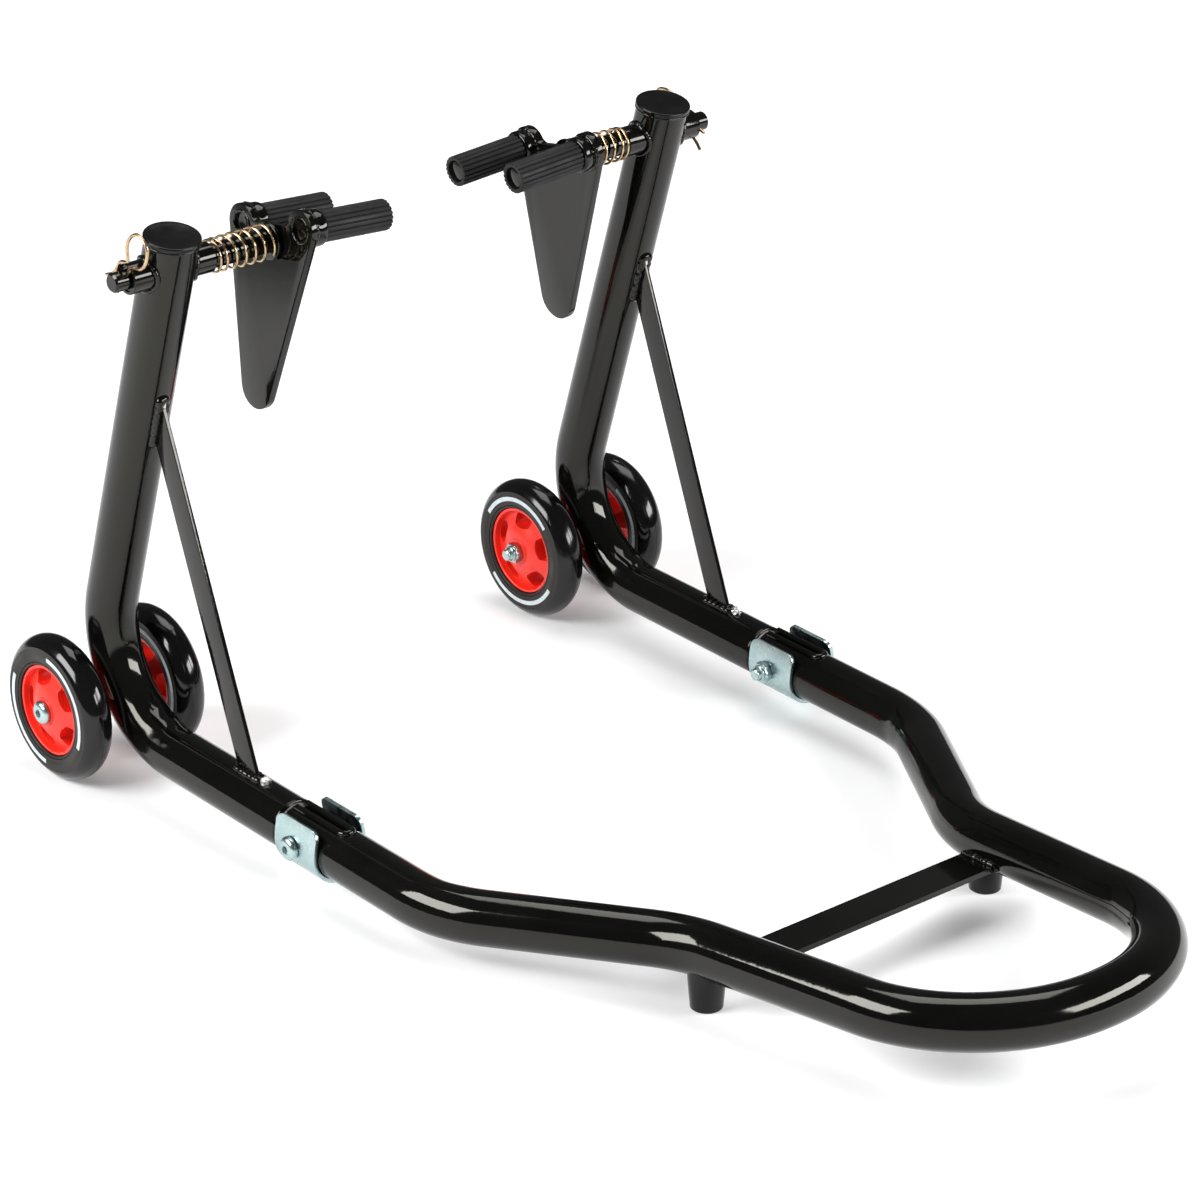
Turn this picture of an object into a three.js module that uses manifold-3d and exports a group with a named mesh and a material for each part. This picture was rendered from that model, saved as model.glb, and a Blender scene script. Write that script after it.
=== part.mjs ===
import * as THREE from "three";
import { mergeVertices } from "three/addons/utils/BufferGeometryUtils.js";
import Module from "manifold-3d";

const wasm = await Module();
wasm.setup();

// A paddock stand for a motorcycle: two bent legs on pairs of wheels, a handle loop bolted to them,
// and a turning head with two pegs at the top of each leg.
// Sizes are in mm. X runs across the stand, +Y from the handle to the wheels, Z up from the floor.
// A leg is made about its own middle plane, with x counted outward, then placed and mirrored.
// Along Y, places are counted from the axle line until the whole stand is centred at the end.

const degree = Math.PI / 180;

// Gaps
const weldGap = 0.3;
const runningGap = 0.06;
const endPlay = 0.3;
// How far a cutter, or a piece that is joined on, reaches past the face that it meets
const overlap = 1;

// Tubes of the frame
const tubeRadius = 17.5;
const tubeWall = 2;
const tubeSides = 20;
const boreSides = 10;
const bendStep = 13 * degree;
const legSpacing = 400;
const legHeight = 396;
const uprightLean = 17.24 * degree;
const baseSlope = 0.93 * degree;
const legBendRadius = 72;
const axleBearing = -34.3 * degree;

// Wheels and axle
const wheelRadius = 50;
const wheelOffset = 37;
const tyreHalfWidth = 12;
const treadRadius = 12;
const treadSteps = 6;
const tyreSides = 28;
const rimRadius = 31;
const rimHalfWidth = 9.3;
const rimRibHeight = 2.5;
const rimRibHalfWidth = 4.7;
const rimLipThickness = 3;
const hubFaceHalfWidth = 5;
const hubFaceRadius = 26;
const hubSides = 15;
const bossHalfWidth = 13;
const bossRadius = 9.5;
const spokeCount = 5;
const windowInner = 16.5;
const windowOuter = 27;
const windowAngle = 38 * degree;
const windowCorner = 3.5;
const axleTubeRadius = 9;

// M8 bolts and nuts
const boltRadius = 4;
const boltSides = 12;
const nutAcrossFlats = 13;
const nutHeight = 6.8;
const boltHeadHeight = 5.3;
const buttonHeadRadius = 8;
const buttonHeadHeight = 4.6;
const buttonRimHeight = 1.6;
const buttonTopRadius = 3.2;
const buttonSteps = 2;
const socketAcrossFlats = 5;
const socketDepth = 2.6;
const boltTail = 3.5;

// Cap on top of a leg
const capThickness = 3.5;
const capOverhang = 0.9;
const capEdge = 0.8;

// Lift pin and the tube that it slides in
const liftPinDepth = 24.5;
const liftPinRadius = 8;
const liftPinTipRadius = 6.4;
const liftPinTipLength = 11;
const liftPinChamfer = 1.2;
const pinStepDepth = 1;
const liftTubeRadius = 10;
const liftTubeHalfLength = 31;
const pinSides = 16;

// Lift plate, in its own frame: u to the wheel side, v up, the pin at 0, 0
const plateToLeg = 80;
const plateThickness = 5;
const earSpread = 31;
const earRise = 8;
const earRadius = 13;
const notchRise = 10;
const notchFillet = 6;
const plateDrop = 97;
const plateFootRadius = 15.5;
const plateHang = -11 * degree;
const plateArcSteps = 4;
const pinWeldStep = 1;

// Pegs on the lift plate
const pegCoreRadius = 7.25;
const pegLength = 61.5;
const collarRadius = 12;
const collarLength = 9;
const collarChamfer = 1.5;
const rubberRadius = 10.25;
const rubberGroove = 0.7;
const rubberGrooves = 20;
const coreRecess = 1.5;

// Spring on the lift pin
const seatRadius = 12.8;
const seatThickness = 2.5;
const wireRadius = 0.9;
const springRadiusAtTube = 10.4;
const springRadiusAtSeat = 11.4;
const closedCurls = 1;
const closedPitch = 2.6;
const openCurls = 5.6;
const curlSteps = 8;
const wireSides = 5;

// Clip through the lift pin
const clipWireRadius = 1.1;
const clipSides = 6;
const clipHoleSides = 8;
const clipBendStep = 32 * degree;
const clipNeckGap = 3.4;
const clipNeckRadius = 2.6;
const clipNeckLength = 9.4;
const clipLoopLength = 25.4;
const clipLoopHalfWidth = 10;
const clipLoopTaper = 3;
const clipLoopRadius = 6.5;
const clipFootFlare = 4;
const clipTurns = { left: 38 * degree, right: -72 * degree };

// Flat bar between upright and base
const gussetHeight = 265.4;
const gussetReach = 158.8;
const gussetWidth = 18.5;
const gussetThickness = 3;

// Handle
const legEndReach = 207;
const sleeveJointGap = 4;
const spigotLength = 66;
const slideGap = 0.3;
const taperReach = 352;
const taperBendRadius = 100;
const neckReach = 486;
const neckHalfWidth = 116;
const neckRise = 6;
const neckBendRadius = 95;
const handleReach = 721;
const handleHalfWidth = 97;
const handleRise = 28;
const loopRadius = 103;
const slotWidth = 6.5;
const slotLength = 51;
const slotEndSteps = 5;

// Saddle clamped over the joint
const saddleLength = 41;
const saddleStart = 5;
const saddleSheet = 2.5;
const saddleRise = 18.5;
const saddleCorner = 6;
const saddleCornerSteps = 2;
const saddleSides = 20;
const clampBoltInset = 18;

// Crossbar and feet
const crossbarReach = 519;
const crossbarWidth = 30;
const crossbarThickness = 3.5;
const crossbarBelow = 7.8;
const footReach = 505;
const footOffset = 2.5;
const footTopRadius = 12.8;
const footBottomRadius = 10.3;

function inPlane(y, z) {
  return new THREE.Vector3(0, y, z);
}

function withoutSlivers(index) {
  const kept = [];
  for (let i = 0; i < index.length; i += 3) {
    const [a, b, c] = [index[i], index[i + 1], index[i + 2]];
    if (a !== b && b !== c && c !== a) {
      kept.push(a, b, c);
    }
  }
  return kept;
}

function signedVolume(positions, triangles) {
  let sum = 0;
  const [a, b, c] = [new THREE.Vector3(), new THREE.Vector3(), new THREE.Vector3()];
  for (let i = 0; i < triangles.length; i += 3) {
    a.fromArray(positions, 3 * triangles[i]);
    b.fromArray(positions, 3 * triangles[i + 1]);
    c.fromArray(positions, 3 * triangles[i + 2]);
    sum += a.dot(b.cross(c)) / 6;
  }
  return sum;
}

// A closed solid of a geometry's surface, with its faces turned outward
function solidOf(geometry) {
  const bare = geometry.index ? geometry.toNonIndexed() : geometry.clone();
  bare.deleteAttribute("normal");
  bare.deleteAttribute("uv");
  const merged = mergeVertices(bare, 1e-4);
  const positions = merged.attributes.position.array;
  let triangles = withoutSlivers(merged.index.array);
  if (signedVolume(positions, triangles) < 0) {
    triangles = triangles.reverse();
  }
  return new wasm.Manifold(
    new wasm.Mesh({
      numProp: 3,
      vertProperties: new Float32Array(positions),
      triVerts: new Uint32Array(triangles),
    })
  );
}

function geometryOf(solid) {
  const mesh = solid.getMesh();
  const geometry = new THREE.BufferGeometry();
  geometry.setAttribute("position", new THREE.BufferAttribute(mesh.vertProperties, 3));
  geometry.setIndex(new THREE.BufferAttribute(mesh.triVerts, 1));
  geometry.computeVertexNormals();
  return geometry;
}

function circle(radius, sides) {
  const points = [];
  for (let i = 0; i < sides; i += 1) {
    const angle = (2 * Math.PI * i) / sides;
    points.push(new THREE.Vector2(radius * Math.cos(angle), radius * Math.sin(angle)));
  }
  return new THREE.Shape(points);
}

// A polygon whose flats, not its corners, lie at the radius, for holes round a shaft
function outsideRadius(radius, sides) {
  return radius / Math.cos(Math.PI / sides);
}

// A route of straight runs and round bends, with a station at each end of a run and at each bend step
class Route extends THREE.Curve {
  constructor(corners, step = bendStep) {
    super();
    this.stations = [];
    corners.forEach(({ at, radius }, i) => {
      const before = corners[i - 1];
      const after = corners[i + 1];
      const incoming = before && at.clone().sub(before.at).normalize();
      const outgoing = after && after.at.clone().sub(at).normalize();
      if (!before || !after) {
        this.stations.push({ point: at.clone(), tangent: incoming || outgoing });
        return;
      }
      const turn = incoming.angleTo(outgoing);
      const axis = incoming.clone().cross(outgoing).normalize();
      const toCentre = outgoing.clone().sub(incoming).normalize();
      const centre = at.clone().addScaledVector(toCentre, radius / Math.cos(turn / 2));
      const start = at.clone().addScaledVector(incoming, -radius * Math.tan(turn / 2));
      const spoke = start.sub(centre);
      const steps = Math.ceil(turn / step);
      for (let k = 0; k <= steps; k += 1) {
        const angle = (turn * k) / steps;
        this.stations.push({
          point: spoke.clone().applyAxisAngle(axis, angle).add(centre),
          tangent: incoming.clone().applyAxisAngle(axis, angle),
        });
      }
    });
  }

  station(u) {
    return this.stations[Math.round(u * this.steps)];
  }

  get steps() {
    return this.stations.length - 1;
  }

  getPoint(u) {
    return this.station(u).point.clone();
  }

  getPointAt(u) {
    return this.getPoint(u);
  }

  getTangent(u) {
    return this.station(u).tangent.clone();
  }

  getTangentAt(u) {
    return this.getTangent(u);
  }
}

function sweep(route, radius, sides) {
  return solidOf(
    new THREE.ExtrudeGeometry(circle(radius, sides), {
      steps: route.steps,
      bevelEnabled: false,
      extrudePath: route,
    })
  );
}

function bar(from, to, radius, sides) {
  return sweep(new Route([{ at: from }, { at: to }]), radius, sides);
}

// A solid turned about the X axis from pairs of x and radius, moved to y and z.
// A profile that doesn't start and end on the axis closes on itself.
function turned(profile, sides, y = 0, z = 0) {
  const points = profile.map(([x, r]) => new THREE.Vector2(r, x));
  const first = profile[0];
  const last = profile[profile.length - 1];
  if (first[1] > 0 || last[1] > 0) {
    points.push(points[0].clone());
  }
  const geometry = new THREE.LatheGeometry(points, sides);
  geometry.rotateZ(-Math.PI / 2);
  geometry.translate(0, y, z);
  return solidOf(geometry);
}

function rod(x0, x1, radius, sides, y = 0, z = 0) {
  return turned([[x0, 0], [x0, radius], [x1, radius], [x1, 0]], sides, y, z);
}

function hole(x0, x1, radius, sides, y = 0, z = 0) {
  return rod(x0, x1, outsideRadius(radius, sides), sides, y, z);
}

function hexagon(x0, x1, acrossFlats, y, z) {
  return rod(x0, x1, outsideRadius(acrossFlats / 2, 6), 6, y, z);
}

// An outline in the plane of Y and Z, given thickness along X from x0 to x1
function plateBetween(shape, x0, x1, curveSegments = 1) {
  const geometry = new THREE.ExtrudeGeometry(shape, {
    depth: x1 - x0,
    bevelEnabled: false,
    curveSegments,
  });
  geometry.applyMatrix4(
    new THREE.Matrix4().set(0, 0, 1, x0, 1, 0, 0, 0, 0, 1, 0, 0, 0, 0, 0, 1)
  );
  return solidOf(geometry);
}

// Side view of a leg: the axle tube lies against the outside of the bend
const axle = inPlane(0, wheelRadius);
const axleToBend = legBendRadius + tubeRadius + axleTubeRadius + weldGap;
const bendCentre = axle.clone().sub(
  inPlane(Math.cos(axleBearing), Math.sin(axleBearing)).multiplyScalar(axleToBend)
);
const upward = inPlane(-Math.sin(uprightLean), Math.cos(uprightLean));
const forward = inPlane(-Math.cos(baseSlope), -Math.sin(baseSlope));
const baseNormal = inPlane(-Math.sin(baseSlope), Math.cos(baseSlope));
const baseTouch = bendCentre.clone().addScaledVector(baseNormal, -legBendRadius);
const legTurn = upward.clone().negate().angleTo(forward);
const legCorner = baseTouch
  .clone()
  .addScaledVector(forward, -legBendRadius * Math.tan(legTurn / 2));

function onUpright(height) {
  return legCorner.clone().addScaledVector(upward, (height - legCorner.z) / upward.z);
}

function onBase(reach) {
  return legCorner.clone().addScaledVector(forward, (-reach - legCorner.y) / forward.y);
}

const capTop = onUpright(legHeight);
const capBottom = capTop.clone().addScaledVector(upward, -capThickness);
const legTop = capBottom.clone().addScaledVector(upward, -weldGap);
const liftAxis = capTop.clone().addScaledVector(upward, -liftPinDepth);
const legEnd = onBase(legEndReach);
const spigotEnd = onBase(legEndReach + spigotLength);
const handleStart = onBase(legEndReach + sleeveJointGap);
const clampBoltAt = onBase(legEndReach + sleeveJointGap + clampBoltInset);
const spigotRadius = tubeRadius - tubeWall - slideGap;

const legRoute = new Route([
  { at: legTop },
  { at: legCorner, radius: legBendRadius },
  { at: legEnd },
]);

const clampHole = hole(
  -2 * tubeRadius, 2 * tubeRadius, boltRadius + weldGap, boltSides, clampBoltAt.y, clampBoltAt.z
);

const legSkin = sweep(legRoute, tubeRadius + weldGap, tubeSides);

function legTube() {
  const mouth = legTop.clone().addScaledVector(upward, tubeWall);
  const shoulder = legEnd.clone().addScaledVector(forward, -2 * tubeWall);
  const shoulderBore = legEnd.clone().addScaledVector(forward, -tubeWall);
  const boreRoute = new Route([
    { at: mouth },
    { at: legCorner, radius: legBendRadius },
    { at: shoulder },
  ]);
  const behindSpigot = shoulder.clone().addScaledVector(forward, -tubeWall);
  const pastSpigot = spigotEnd.clone().addScaledVector(forward, tubeWall);
  const outside = sweep(legRoute, tubeRadius, tubeSides)
    .add(bar(shoulderBore, spigotEnd, spigotRadius, tubeSides));
  const bore = sweep(boreRoute, tubeRadius - tubeWall, boreSides)
    .add(bar(behindSpigot, pastSpigot, spigotRadius - tubeWall, boreSides));
  const liftHole = hole(
    -2 * tubeRadius, 2 * tubeRadius, liftTubeRadius + weldGap, pinSides, liftAxis.y, liftAxis.z
  );
  return outside.subtract(bore).subtract(liftHole).subtract(clampHole);
}

function topCap() {
  const radius = tubeRadius + capOverhang;
  const points = [
    [0, 0],
    [radius - capEdge, 0],
    [radius, capEdge],
    [radius, capThickness - capEdge],
    [radius - capEdge, capThickness],
    [0, capThickness],
  ].map(([r, h]) => new THREE.Vector2(r, h));
  const geometry = new THREE.LatheGeometry(points, tubeSides);
  geometry.rotateX(Math.PI / 2 + uprightLean);
  geometry.translate(0, capBottom.y, capBottom.z);
  return solidOf(geometry);
}

function liftTube() {
  const bore = hole(
    -2 * liftTubeHalfLength,
    2 * liftTubeHalfLength,
    liftPinRadius + runningGap,
    pinSides,
    liftAxis.y,
    liftAxis.z
  );
  return rod(
    -liftTubeHalfLength, liftTubeHalfLength, liftTubeRadius, pinSides, liftAxis.y, liftAxis.z
  ).subtract(bore);
}

const axleTubeHalfLength = wheelOffset - bossHalfWidth - endPlay;

function axleTube() {
  const bore = hole(
    -2 * axleTubeHalfLength,
    2 * axleTubeHalfLength,
    boltRadius + weldGap,
    boltSides,
    axle.y,
    axle.z
  );
  return rod(-axleTubeHalfLength, axleTubeHalfLength, axleTubeRadius, pinSides, axle.y, axle.z)
    .subtract(bore)
    .subtract(legSkin);
}

function gusset() {
  const frontFace = tubeRadius / Math.cos(uprightLean);
  const top = onUpright(gussetHeight).add(inPlane(-frontFace, 0));
  const foot = onBase(gussetReach).add(inPlane(0, tubeRadius));
  const along = foot.clone().sub(top).normalize();
  const across = inPlane(along.z, -along.y).multiplyScalar(gussetWidth / 2);
  top.addScaledVector(along, -2 * tubeRadius);
  foot.addScaledVector(along, tubeRadius);
  const outline = [
    top.clone().add(across),
    foot.clone().add(across),
    foot.clone().sub(across),
    top.clone().sub(across),
  ].map((p) => new THREE.Vector2(p.y, p.z));
  const plate = plateBetween(
    new THREE.Shape(outline), -gussetThickness / 2, gussetThickness / 2
  ).subtract(legSkin);
  // The cut leaves the bar itself and its end behind the upright: the bar is the larger one
  return plate.decompose().sort((a, b) => b.volume() - a.volume())[0];
}

// Wheels
function tyreSection() {
  const arcHeight = wheelRadius - treadRadius;
  const bead = outsideRadius(rimRadius + weldGap, tyreSides);
  const groove = outsideRadius(rimRadius + rimRibHeight + weldGap, tyreSides);
  const tread = [];
  for (let i = 0; i <= treadSteps; i += 1) {
    const angle = (Math.PI * i) / treadSteps;
    tread.push([tyreHalfWidth * Math.cos(angle), arcHeight + treadRadius * Math.sin(angle)]);
  }
  return [
    [rimHalfWidth, bead],
    ...tread,
    [-rimHalfWidth, bead],
    [-rimRibHalfWidth - weldGap, bead],
    [-rimRibHalfWidth - weldGap, groove],
    [rimRibHalfWidth + weldGap, groove],
    [rimRibHalfWidth + weldGap, bead],
  ];
}

function tyre(x) {
  const section = tyreSection().map(([dx, r]) => [x + dx, r]);
  return turned(section, tyreSides, axle.y, axle.z);
}

function hubHalfSection() {
  return [
    [rimRibHalfWidth, rimRadius + rimRibHeight],
    [rimRibHalfWidth, rimRadius],
    [rimHalfWidth, rimRadius],
    [rimHalfWidth, rimRadius - rimLipThickness],
    [hubFaceHalfWidth, hubFaceRadius],
    [bossHalfWidth, bossRadius],
    [bossHalfWidth, outsideRadius(boltRadius + runningGap, hubSides)],
  ];
}

// One window between spokes: an arc near the rim, straight sides and rounded corners
function hubWindow() {
  const half = windowAngle / 2;
  const trim = windowCorner / windowOuter;
  const shape = new THREE.Shape();
  shape.absarc(0, 0, windowOuter, -half + trim, half - trim, false);
  const side = windowOuter - windowCorner;
  shape.quadraticCurveTo(
    windowOuter * Math.cos(half), windowOuter * Math.sin(half),
    side * Math.cos(half), side * Math.sin(half)
  );
  const inner = windowInner + windowCorner;
  shape.lineTo(inner * Math.cos(half), inner * Math.sin(half));
  shape.quadraticCurveTo(windowInner, 0, inner * Math.cos(half), -inner * Math.sin(half));
  shape.lineTo(side * Math.cos(half), -side * Math.sin(half));
  shape.quadraticCurveTo(
    windowOuter * Math.cos(half), -windowOuter * Math.sin(half),
    windowOuter * Math.cos(half - trim), -windowOuter * Math.sin(half - trim)
  );
  return shape;
}

function hub(x) {
  const half = hubHalfSection();
  const section = [
    ...half.map(([dx, r]) => [x + dx, r]),
    ...half.map(([dx, r]) => [x - dx, r]).reverse(),
  ];
  let body = turned(section, hubSides, axle.y, axle.z);
  for (let i = 0; i < spokeCount; i += 1) {
    const turn = (360 * (i + 0.25 * spokeCount)) / spokeCount;
    const cutter = plateBetween(hubWindow(), x - wheelRadius, x + wheelRadius)
      .rotate([turn, 0, 0])
      .translate([0, axle.y, axle.z]);
    body = body.subtract(cutter);
  }
  return body;
}

const boltSeat = wheelOffset + bossHalfWidth + endPlay;

// The domed side of a button head, as pairs of x and radius
function buttonDome(seat) {
  const points = [];
  for (let i = 0; i <= buttonSteps; i += 1) {
    const angle = (Math.PI / 2) * (i / buttonSteps);
    points.push([
      seat + buttonRimHeight + (buttonHeadHeight - buttonRimHeight) * Math.sin(angle),
      buttonTopRadius + (buttonHeadRadius - buttonTopRadius) * Math.cos(angle),
    ]);
  }
  return points;
}

function axleBolt() {
  const { y, z } = axle;
  const headTop = boltSeat + buttonHeadHeight;
  const profile = [
    [boltSeat, 0],
    [boltSeat, buttonHeadRadius],
    ...buttonDome(boltSeat),
    [headTop, 0],
  ];
  const socket = hexagon(headTop - socketDepth, headTop + overlap, socketAcrossFlats, y, z);
  const shankEnd = -boltSeat - nutHeight - boltTail;
  const shank = rod(shankEnd, boltSeat + overlap, boltRadius, boltSides, y, z);
  return turned(profile, pinSides, y, z).subtract(socket).add(shank);
}

function nut(seat, y, z) {
  const far = seat - nutHeight;
  const thread = hole(far - overlap, seat + overlap, boltRadius + weldGap, boltSides, y, z);
  return hexagon(far, seat, nutAcrossFlats, y, z).subtract(thread);
}

function axleNut() {
  return nut(-boltSeat, axle.y, axle.z);
}

// Clamp over the joint of leg and handle, opened upward
const saddleInside = outsideRadius(tubeRadius + weldGap, saddleSides);
const saddleOutside = saddleInside + saddleSheet;

function saddle() {
  const section = new THREE.Shape();
  section.moveTo(-saddleOutside, saddleRise);
  section.lineTo(-saddleOutside, 0);
  section.absarc(0, 0, saddleOutside, Math.PI, 2 * Math.PI, false);
  section.lineTo(saddleOutside, saddleRise);
  section.lineTo(saddleInside, saddleRise);
  section.lineTo(saddleInside, 0);
  section.absarc(0, 0, saddleInside, 2 * Math.PI, Math.PI, true);
  section.lineTo(-saddleInside, saddleRise);
  const channel = new THREE.ExtrudeGeometry(section, {
    depth: saddleLength,
    bevelEnabled: false,
    curveSegments: saddleSides / 4,
  });
  channel.rotateX(Math.PI / 2);
  const low = -saddleOutside - overlap;
  const side = new THREE.Shape();
  side.moveTo(overlap, low);
  side.lineTo(overlap, saddleRise - saddleCorner);
  side.lineTo(0, saddleRise - saddleCorner);
  side.absarc(-saddleCorner, saddleRise - saddleCorner, saddleCorner, 0, Math.PI / 2, false);
  side.absarc(
    saddleCorner - saddleLength, saddleRise - saddleCorner, saddleCorner,
    Math.PI / 2, Math.PI, false
  );
  side.lineTo(-saddleLength - overlap, saddleRise - saddleCorner);
  side.lineTo(-saddleLength - overlap, low);
  const corners = plateBetween(
    side, -2 * saddleOutside, 2 * saddleOutside, saddleCornerSteps
  );
  const seat = onBase(legEndReach + saddleStart);
  return solidOf(channel)
    .intersect(corners)
    .rotate([baseSlope / degree, 0, 0])
    .translate([0, seat.y, seat.z])
    .subtract(clampHole);
}

function clampBolt() {
  const { y, z } = clampBoltAt;
  const seat = saddleOutside + endPlay;
  const tail = -seat - nutHeight - boltTail;
  return hexagon(seat, seat + boltHeadHeight, nutAcrossFlats, y, z)
    .add(rod(tail, seat + overlap, boltRadius, boltSides, y, z));
}

function clampNut() {
  return nut(-saddleOutside - endPlay, clampBoltAt.y, clampBoltAt.z);
}

// Head: pin, plate, pegs, spring seat and clip
const plateInner = -plateToLeg - plateThickness;
const clipAt = liftTubeHalfLength + endPlay + clipWireRadius;

function liftPin() {
  const tip = liftTubeHalfLength + liftPinTipLength;
  const step = liftTubeHalfLength - pinStepDepth;
  const inner = plateInner - pinWeldStep;
  return turned(
    [
      [inner, 0],
      [inner, liftPinRadius],
      [step, liftPinRadius],
      [step, liftPinTipRadius],
      [tip - liftPinChamfer, liftPinTipRadius],
      [tip, liftPinTipRadius - liftPinChamfer],
      [tip, 0],
    ],
    pinSides,
    liftAxis.y,
    liftAxis.z
  );
}

const acrossStand = new THREE.Vector3(1, 0, 0);

function clipHole(turn) {
  const reach = inPlane(0, 2 * liftPinRadius).applyAxisAngle(acrossStand, turn);
  const centre = liftAxis.clone().setX(clipAt);
  const radius = outsideRadius(clipWireRadius + runningGap, clipHoleSides);
  return bar(centre.clone().sub(reach), centre.clone().add(reach), radius, clipHoleSides);
}

// The plate hangs by its own weight, turned by plateHang about the pin
function onHead(u, v) {
  return inPlane(u, v).applyAxisAngle(acrossStand, plateHang).add(liftAxis);
}

function plateOutline() {
  const foot = new THREE.Vector2(earSpread, -plateDrop);
  const farEar = new THREE.Vector2(-earSpread, earRise);
  const nearEar = new THREE.Vector2(earSpread, earRise);
  // A straight side touches two circles on the side of its normal, turned by their difference in radius
  const tangentNormal = (from, to, r0, r1) => {
    const run = to.clone().sub(from);
    return run.angle() - Math.PI / 2 - Math.asin((r1 - r0) / run.length());
  };
  const right = tangentNormal(foot, nearEar, plateFootRadius, earRadius);
  const left = tangentNormal(farEar, foot, earRadius, plateFootRadius);
  // Each notch corner is a fillet between the notch bottom and an ear
  const filletRise = notchRise + notchFillet;
  const side = Math.sqrt((earRadius + notchFillet) ** 2 - (filletRise - earRise) ** 2);
  const earAngle = Math.atan2(filletRise - earRise, side);
  const filletAt = earSpread - side;
  const shape = new THREE.Shape();
  shape.absarc(foot.x, foot.y, plateFootRadius, left, right + 2 * Math.PI, false);
  shape.absarc(nearEar.x, nearEar.y, earRadius, right, Math.PI - earAngle, false);
  shape.absarc(filletAt, filletRise, notchFillet, -earAngle, -Math.PI / 2, true);
  shape.absarc(-filletAt, filletRise, notchFillet, -Math.PI / 2, Math.PI + earAngle, true);
  shape.absarc(farEar.x, farEar.y, earRadius, earAngle, left + 2 * Math.PI, false);
  return shape;
}

function plateHole(radius, at) {
  const from = plateInner - overlap;
  const to = overlap - plateToLeg;
  return hole(from, to, radius + weldGap, pinSides, at.y, at.z);
}

function liftPlate() {
  return plateBetween(plateOutline(), plateInner, -plateToLeg, plateArcSteps)
    .rotate([plateHang / degree, 0, 0])
    .translate([0, liftAxis.y, liftAxis.z])
    .subtract(plateHole(liftPinRadius, liftAxis))
    .subtract(plateHole(pegCoreRadius, onHead(-earSpread, earRise)))
    .subtract(plateHole(pegCoreRadius, onHead(earSpread, earRise)));
}

const collarFrom = plateInner - weldGap;
const rubberFrom = collarFrom - collarLength - weldGap;
const rubberTip = plateInner - pegLength;

// Steel peg: a core through the ear and a collar against the plate
function peg(side) {
  const ear = onHead(side * earSpread, earRise);
  return turned(
    [
      [rubberTip + coreRecess, 0],
      [rubberTip + coreRecess, pegCoreRadius],
      [collarFrom - collarLength, pegCoreRadius],
      [collarFrom - collarLength, collarRadius - collarChamfer],
      [collarFrom - collarLength + collarChamfer, collarRadius],
      [collarFrom, collarRadius],
      [collarFrom, pegCoreRadius],
      [-plateToLeg + pinWeldStep, pegCoreRadius],
      [-plateToLeg + pinWeldStep, 0],
    ],
    pinSides,
    ear.y,
    ear.z
  );
}

function pegRubber(side) {
  const ear = onHead(side * earSpread, earRise);
  const points = [];
  for (let i = 0; i < 2 * rubberGrooves; i += 1) {
    const angle = (Math.PI * i) / rubberGrooves;
    const radius = rubberRadius - (i % 2) * rubberGroove;
    points.push(new THREE.Vector2(radius * Math.cos(angle), radius * Math.sin(angle)));
  }
  const sleeve = plateBetween(new THREE.Shape(points), rubberTip, rubberFrom);
  const core = hole(
    rubberTip - overlap, rubberFrom + overlap, pegCoreRadius + weldGap, pinSides
  );
  return sleeve.subtract(core).translate([0, ear.y, ear.z]);
}

const seatFrom = -plateToLeg + pinWeldStep + weldGap;
const seatFace = seatFrom + seatThickness;

function springSeat() {
  const bore = hole(
    seatFrom - overlap, seatFace + overlap, liftPinRadius + runningGap, pinSides
  );
  return rod(seatFrom, seatFace, seatRadius, pinSides)
    .subtract(bore)
    .translate([0, liftAxis.y, liftAxis.z]);
}

// The spring's wire: one closed curl at the tube, then open curls that widen to the seat.
// Each end turns away along the pin for one wire diameter, square to what it meets.
const springFrom = -liftTubeHalfLength - weldGap;
const springTo = seatFace + weldGap;
const wireEnd = 2 * wireRadius;

function springPoint(turns) {
  const total = closedCurls + openCurls;
  const start = springFrom - wireEnd - wireRadius;
  const end = springTo + wireEnd + wireRadius;
  const closed = Math.min(turns, closedCurls) * closedPitch;
  const openPitch = (start - end - closedCurls * closedPitch) / openCurls;
  const open = Math.max(turns - closedCurls, 0) * openPitch;
  const radius = THREE.MathUtils.lerp(springRadiusAtTube, springRadiusAtSeat, turns / total);
  const angle = 2 * Math.PI * turns;
  return new THREE.Vector3(
    start - closed - open,
    radius * Math.cos(angle),
    radius * Math.sin(angle)
  );
}

function springLine() {
  const total = closedCurls + openCurls;
  const count = Math.round(total * curlSteps);
  const points = [];
  for (let i = 0; i <= count; i += 1) {
    points.push(springPoint((total * i) / count));
  }
  const first = points[0].clone().setX(springFrom);
  const last = points[points.length - 1].clone().setX(springTo);
  return [first, ...points, last];
}

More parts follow.
